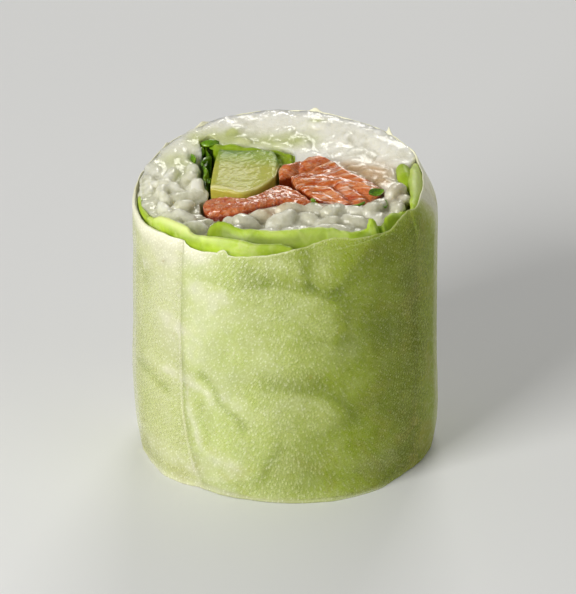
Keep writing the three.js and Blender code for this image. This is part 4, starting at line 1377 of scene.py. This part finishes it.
def layGrains(draw, spots, level, steep, shrink=1.0):
    laid = []
    for x, y in spots:
        z = level(x, y)
        beside = riceEdge(math.atan2(y, x), z) - math.hypot(x, y) < 2.4
        for _ in range(16):
            yaw = draw.random() * 360
            if beside:  # it lies along the wall
                yaw = math.degrees(math.atan2(y, x)) + 90 + draw.normal(0, 20)
            pitch, rollBy = draw.normal(0, steep), draw.random() * 360
            p = grain(x, y, z, yaw, pitch, rollBy, shrink * (0.8 + 0.3 * draw.random()), draw)
            if fits(p):
                laid.append(p)
                break
    return laid


def wallGrains(draw):
    laid = []

    def onWall(d):
        turned = math.radians(mix(*rice["wallSpan"], d.random()))
        return turned * roll["wall"], 1.6 + d.random() * (top - 3.6)

    for arc, z in spaced(draw, *rice["scatter"]["wall"], onWall):
        turned, spin = arc / roll["wall"], draw.random() * math.pi
        r = riceEdge(turned, z) - 1.25
        size = 0.9 + 0.2 * draw.random()
        p = grainPoints * (rice["grainLength"], rice["grainWidth"] * 1.05, rice["grainWidth"] * 0.8) * size
        c, s = math.cos(spin), math.sin(spin)
        x, y = p[:, 0] * c - p[:, 1] * s, p[:, 0] * s + p[:, 1] * c
        angle = turned + x / r
        radius = np.minimum(r + p[:, 2], riceEdge(angle, z + y) + 0.1)
        laid.append(np.stack([radius * np.cos(angle), radius * np.sin(angle), z + y], 1))
    return laid


def fused(parts, voxel, passes):
    # sticks overlapping closed shapes into one skin with soft necks between them
    rough = makeMesh("rough", *gather(parts), None)
    join = rough.modifiers.new("join", "REMESH")
    join.mode, join.voxel_size = "VOXEL", voxel * 0.001
    soften = rough.modifiers.new("soften", "SMOOTH")
    soften.factor, soften.iterations = 0.5, passes
    done = bpy.data.meshes.new_from_object(rough.evaluated_get(bpy.context.evaluated_depsgraph_get()))
    points = np.zeros(len(done.vertices) * 3, np.float32)
    done.vertices.foreach_get("co", points)
    corners = np.zeros(len(done.loops), np.int32)
    done.loops.foreach_get("vertex_index", corners)
    bpy.data.objects.remove(rough)
    bpy.data.meshes.remove(done)
    return points.reshape(-1, 3) * 1000, corners.reshape(-1, 4)


def toneOf(points, grains, draw):
    # each point takes the tone of the grain that it is nearest to
    tree = KDTree(len(grains))
    for k, p in enumerate(grains):
        tree.insert(p.mean(0), k)
    tree.balance()
    tones = draw.random(len(grains))
    return np.array([tones[tree.find(p)[1]] for p in points])


def riceFinish(name):
    made = Finish(name, rice["surface"])
    tone = made.field("tone")
    milk = made.sway(made.noise(1.3, 3), 0.9)
    colour = made.blend(made.step(made.plus(tone, milk), 0.1, 0.9), rice["clear"], rice["white"])
    # painted highlight on the crests, painted shade in the gaps, then the tints of salmon and leaves
    for field in ("crestHighlight", "gap", "stain", "leafStain"):
        colour = made.blend(made.field(field), colour, rice[field])
    made.use("Base Color", colour)
    rough = made.plus(made.step(made.noise(0.7, 3), 0.35, 0.7, 0.14, 0.36), made.times(tone, 0.3))
    made.use("Roughness", rough)
    made.relief((made.noise(0.34, 3, 0.6), 0.1), (made.noise(0.9, 3), 0.1))
    return made.material


def stainOf(points):
    # the salmon tints the rice against it
    x, y, z = points.T
    near = spot(x, y, (11.8, 5.2), 3.2, (0.8, 1.1)) + 0.6 * spot(x, y, (-2.5, -6.6), 1.4, (0.5, 1))
    near = near + strokes([(1.4, 0.8, (7.8, 7.4), (10.8, 5.0), (13.8, 1.8))], x, y)
    near = near + 0.35 * spot(x, y, (15.5, -1.5), 3.0) + 0.4 * spot(x, y, (0.5, -5.4), 1.5, (0.45, 1))
    return np.clip(0.8 * np.clip(near, 0, 1) * smooth((z - top + 6) / 4), 0, 0.8)


def leafStainOf(points):
    # and so do the leaves, in places
    x, y, z = points.T
    wander = 0.6 * cloud(x, y, z, 2.2, 12)
    back = bump(y - 14.0 + wander, 0, 1.9) * smooth((7 - x) / 5) * smooth((x + 15) / 3)
    side = 0.5 * spot(x, y, (-15, 8.5), 2.2, (0.6, 1)) + 0.4 * spot(x, y, (-14.3, 4.6), 1.5)
    spots = 0.8 * spot(x, y, (4.6, 18), 1.1, (1, 2)) + 0.7 * spot(x, y, (-7.4, 15.6), 0.8)
    edge = 0.3 * bump(riceEdge(np.arctan2(y, x), z) - np.hypot(x, y), 0, 1.4)
    edge = edge * smooth((4 - y) / 8) * smooth((11 - x) / 5)
    stain = np.clip(0.75 * back + side + spots + edge + 0.12 * smooth((-8 - x) / 6), 0, 0.8)
    return stain * smooth((z - top + 5) / 3)


def toneAndLight(points, tone):
    # whiter towards the back and on the left, partly painted light where the light falls, and clearer in front
    x, y, _ = points.T
    tone = 0.55 * tone + 0.65 * smooth((y - 1) / 11) + 0.35 * smooth((-8 - x) / 5)
    return np.clip(tone + 0.5 * spot(x, y, (15.2, -1.5), 2.4), 0, 1)


def gapShadeOf(points):
    # painted shade: the gaps between the grains are darker, most of all in front
    x, y, z = points.T
    return np.clip(0.5 * smooth((riceTop(x, y) + 0.4 - z) / 1.2) * (1 - 0.8 * smooth((y - 2) / 8)), 0, 0.5)


def crestHighlightOf(points):
    # and the grains' upper sides whiter, a painted highlight
    x, y, z = points.T
    up = smooth((z - riceTop(x, y) - 0.3) / 1.2 + 0.45 * cloud(x, y, z, 0.9, 30))
    return np.clip(mix(0.3, 0.45, smooth((y + 4) / 6)) * up, 0, 0.6)


def melted(points):
    # towards the back the cut grains are pressed into one soft mass, and all of them are a little ragged
    x, y, z = points.T
    level = riceTop(x, y) + 0.2 * cloud(x, y, 0 * x, 2.4, 21) + 0.1 * cloud(x, y, 0 * x, 1.0, 22)
    share = 0.45 * smooth((y - 1) / 9) * smooth((z - top + 2.5) / 1.5)
    ragged = [0.2 * cloud(x, y, z, 1.5, k) + 0.08 * cloud(x, y, z, 0.7, k + 3) for k in (1, 2, 3)]
    points = points + np.stack(ragged, 1)
    points[:, 2] = mix(points[:, 2], level, share)
    return points


def backness(x, y):
    return smooth((y - 1) / 9)


def looseness(x, y):
    # on the left the grains lie loose
    return smooth((-8 - x) / 3) * (1 - backness(x, y))


def makeRice():
    finish = riceFinish("stickyRice")
    draw = np.random.default_rng(rice["seed"])
    scatter = rice["scatter"]

    def firstLevel(x, y):
        back = backness(x, y)
        level = riceTop(x, y) - mix(0.55, 0.95, back) + mix(0.5, 0.25, back) * draw.random()
        return level + 0.2 * looseness(x, y)

    def secondLevel(x, y):
        return riceTop(x, y) - 1.9 + 0.5 * draw.random()

    def footLevel(x, y):
        return 1.25 + 0.3 * draw.random()

    def sunk(x, y):
        # how far the core stays below the grains
        deep = mix(-0.4, 0.15, backness(x, y)) - 0.45 * smooth((-4 - y) / 4) * smooth((x + 3) / 4)
        return (deep + 0.5 * looseness(x, y)) * (1 - bankOf(x, y))

    # the upper cut
    upper = [
        grain(x, y, top + lift, yaw, draw.normal(0, 14), 360 * draw.random(), size, draw)
        for x, y, lift, yaw, size in rice["placed"]
    ]
    # the others keep away from these, and from the hollow in front of the thin strip
    taken = [(x, y) for x, y, *_ in rice["placed"]] + [(x, -7.2) for x in (-10.5, -9.0, -7.5, -6.0)]
    upper += layGrains(draw, spaced(draw, *scatter["first"], inRice, taken), firstLevel, 15, 0.9)
    upper += layGrains(draw, spaced(draw, *scatter["second"], inRice), secondLevel, 30)
    core = riceCore(top - rice["cutDepth"], top, sunk, 10)
    points, faces = fused([core] + [(p, grainFaces) for p in upper], rice["voxel"], 4)
    points = melted(points)
    fields = {
        "gap": gapShadeOf(points),
        "crestHighlight": crestHighlightOf(points),
        "tone": toneAndLight(points, toneOf(points, upper, draw)),
        "stain": stainOf(points),
        "leafStain": leafStainOf(points),
    }
    dress(makeMesh("riceCut", points, faces, finish, **fields), "rice", "rice")

    # what lies below it and against the paper
    wall = wallGrains(draw)
    lower = layGrains(draw, spaced(draw, *scatter["foot"], inRice), footLevel, 10)
    core = riceCore(rice["footGap"], top - rice["bodySunk"], lambda x, y: 0 * x, 24)
    parts = [core] + [(p, grainFaces) for p in lower + wall]
    points, faces = fused(parts, rice["voxel"] * rice["bodyCoarser"], 2)
    points[:, 2] = np.maximum(points[:, 2], 0.05)
    none = 0 * points[:, 0]
    tone = 0.6 + 0.4 * toneOf(points, lower + wall, draw)
    fields = {"gap": none, "crestHighlight": none, "tone": tone, "stain": none, "leafStain": none}
    dress(makeMesh("riceBody", points, faces, finish, **fields), "rice")


makePaper()
makeLettuce()
makeRib()
makeAvocado()
stripFlesh = salmonFinish("salmonStripFlesh", *salmon["strip"])
makeSalmon("salmonStrip", "salmon_strip", stripRelief, stripFlesh)
chunkFlesh = salmonFinish("salmonChunkFlesh", *salmon["chunk"])
makeSalmon("salmonChunk", "salmon_chunk", chunkRelief, chunkFlesh, salmon["chunkCentre"])
lobeFlesh = salmonFinish("salmonLobeFlesh", *salmon["lobes"])
makeSalmon("salmonLobes", "salmon_fold", foldRelief, lobeFlesh)
makeBackLeaf()
makeHerb()
makeRice()

# floor, light and camera
studio = {
    "floor": (0.755, 0.765, 0.8),
    "floorReach": 1200,
    "distance": 3000.0,
    "elevation": 28.0,
    "aim": (0.5, 0.0, 21.9),
    "lens": 1284.0,
    # azimuth from the camera's side, elevation, distance, size, power in watts
    "lights": {
        "key": (-44, 30, 500, 240, 2.35),
        "back": (172, 34, 520, 170, 0.8),
        "fill": (58, 22, 600, 400, 0.42),
    },
    "sky": 0.2,
    "warm": (1.0, 0.985, 0.92),
}


def outward(azimuth, elevation):
    a, e = math.radians(azimuth), math.radians(elevation)
    return Vector((math.sin(a) * math.cos(e), -math.cos(a) * math.cos(e), math.sin(e)))


def makeStudio():
    scene = bpy.context.scene
    side = studio["floorReach"] / 1000
    data = bpy.data.meshes.new("floor")
    data.from_pydata([(-side, -side, 0), (side, -side, 0), (side, side, 0), (-side, side, 0)], [], [(0, 1, 2, 3)])
    floor = bpy.data.objects.new("floor", data)
    scene.collection.objects.link(floor)
    finish = Finish("paleFloor", {"Roughness": 0.7})
    shade = finish.noise(60, 2)
    finish.use("Base Color", finish.blend(shade, studio["floor"], tuple(c * 0.98 for c in studio["floor"])))
    data.materials.append(finish.material)
    aim = Vector(studio["aim"]) * 0.001
    for name, (azimuth, elevation, distance, size, power) in studio["lights"].items():
        light = bpy.data.lights.new(name, "AREA")
        light.size = size * 0.001
        light.energy = power
        light.color = studio["warm"]
        lamp = bpy.data.objects.new(name, light)
        lamp.location = aim + outward(azimuth, elevation) * distance * 0.001
        lamp.rotation_euler = outward(azimuth, elevation).to_track_quat("Z", "Y").to_euler()
        scene.collection.objects.link(lamp)
    world = bpy.data.worlds.new("studio")
    world.use_nodes = True
    glow = world.node_tree.nodes["Background"].inputs
    glow["Color"].default_value = (*studio["warm"], 1)
    glow["Strength"].default_value = studio["sky"]
    scene.world = world
    eye = bpy.data.cameras.new("camera")
    eye.lens = studio["lens"]
    eye.sensor_width = 36
    camera = bpy.data.objects.new("camera", eye)
    camera.location = aim + outward(0, studio["elevation"]) * studio["distance"] * 0.001
    camera.rotation_euler = outward(0, studio["elevation"]).to_track_quat("Z", "Y").to_euler()
    eye.clip_start, eye.clip_end = 0.01, 10
    scene.collection.objects.link(camera)
    scene.camera = camera
    scene.view_settings.view_transform = "Standard"
    print("studio ready")


makeStudio()
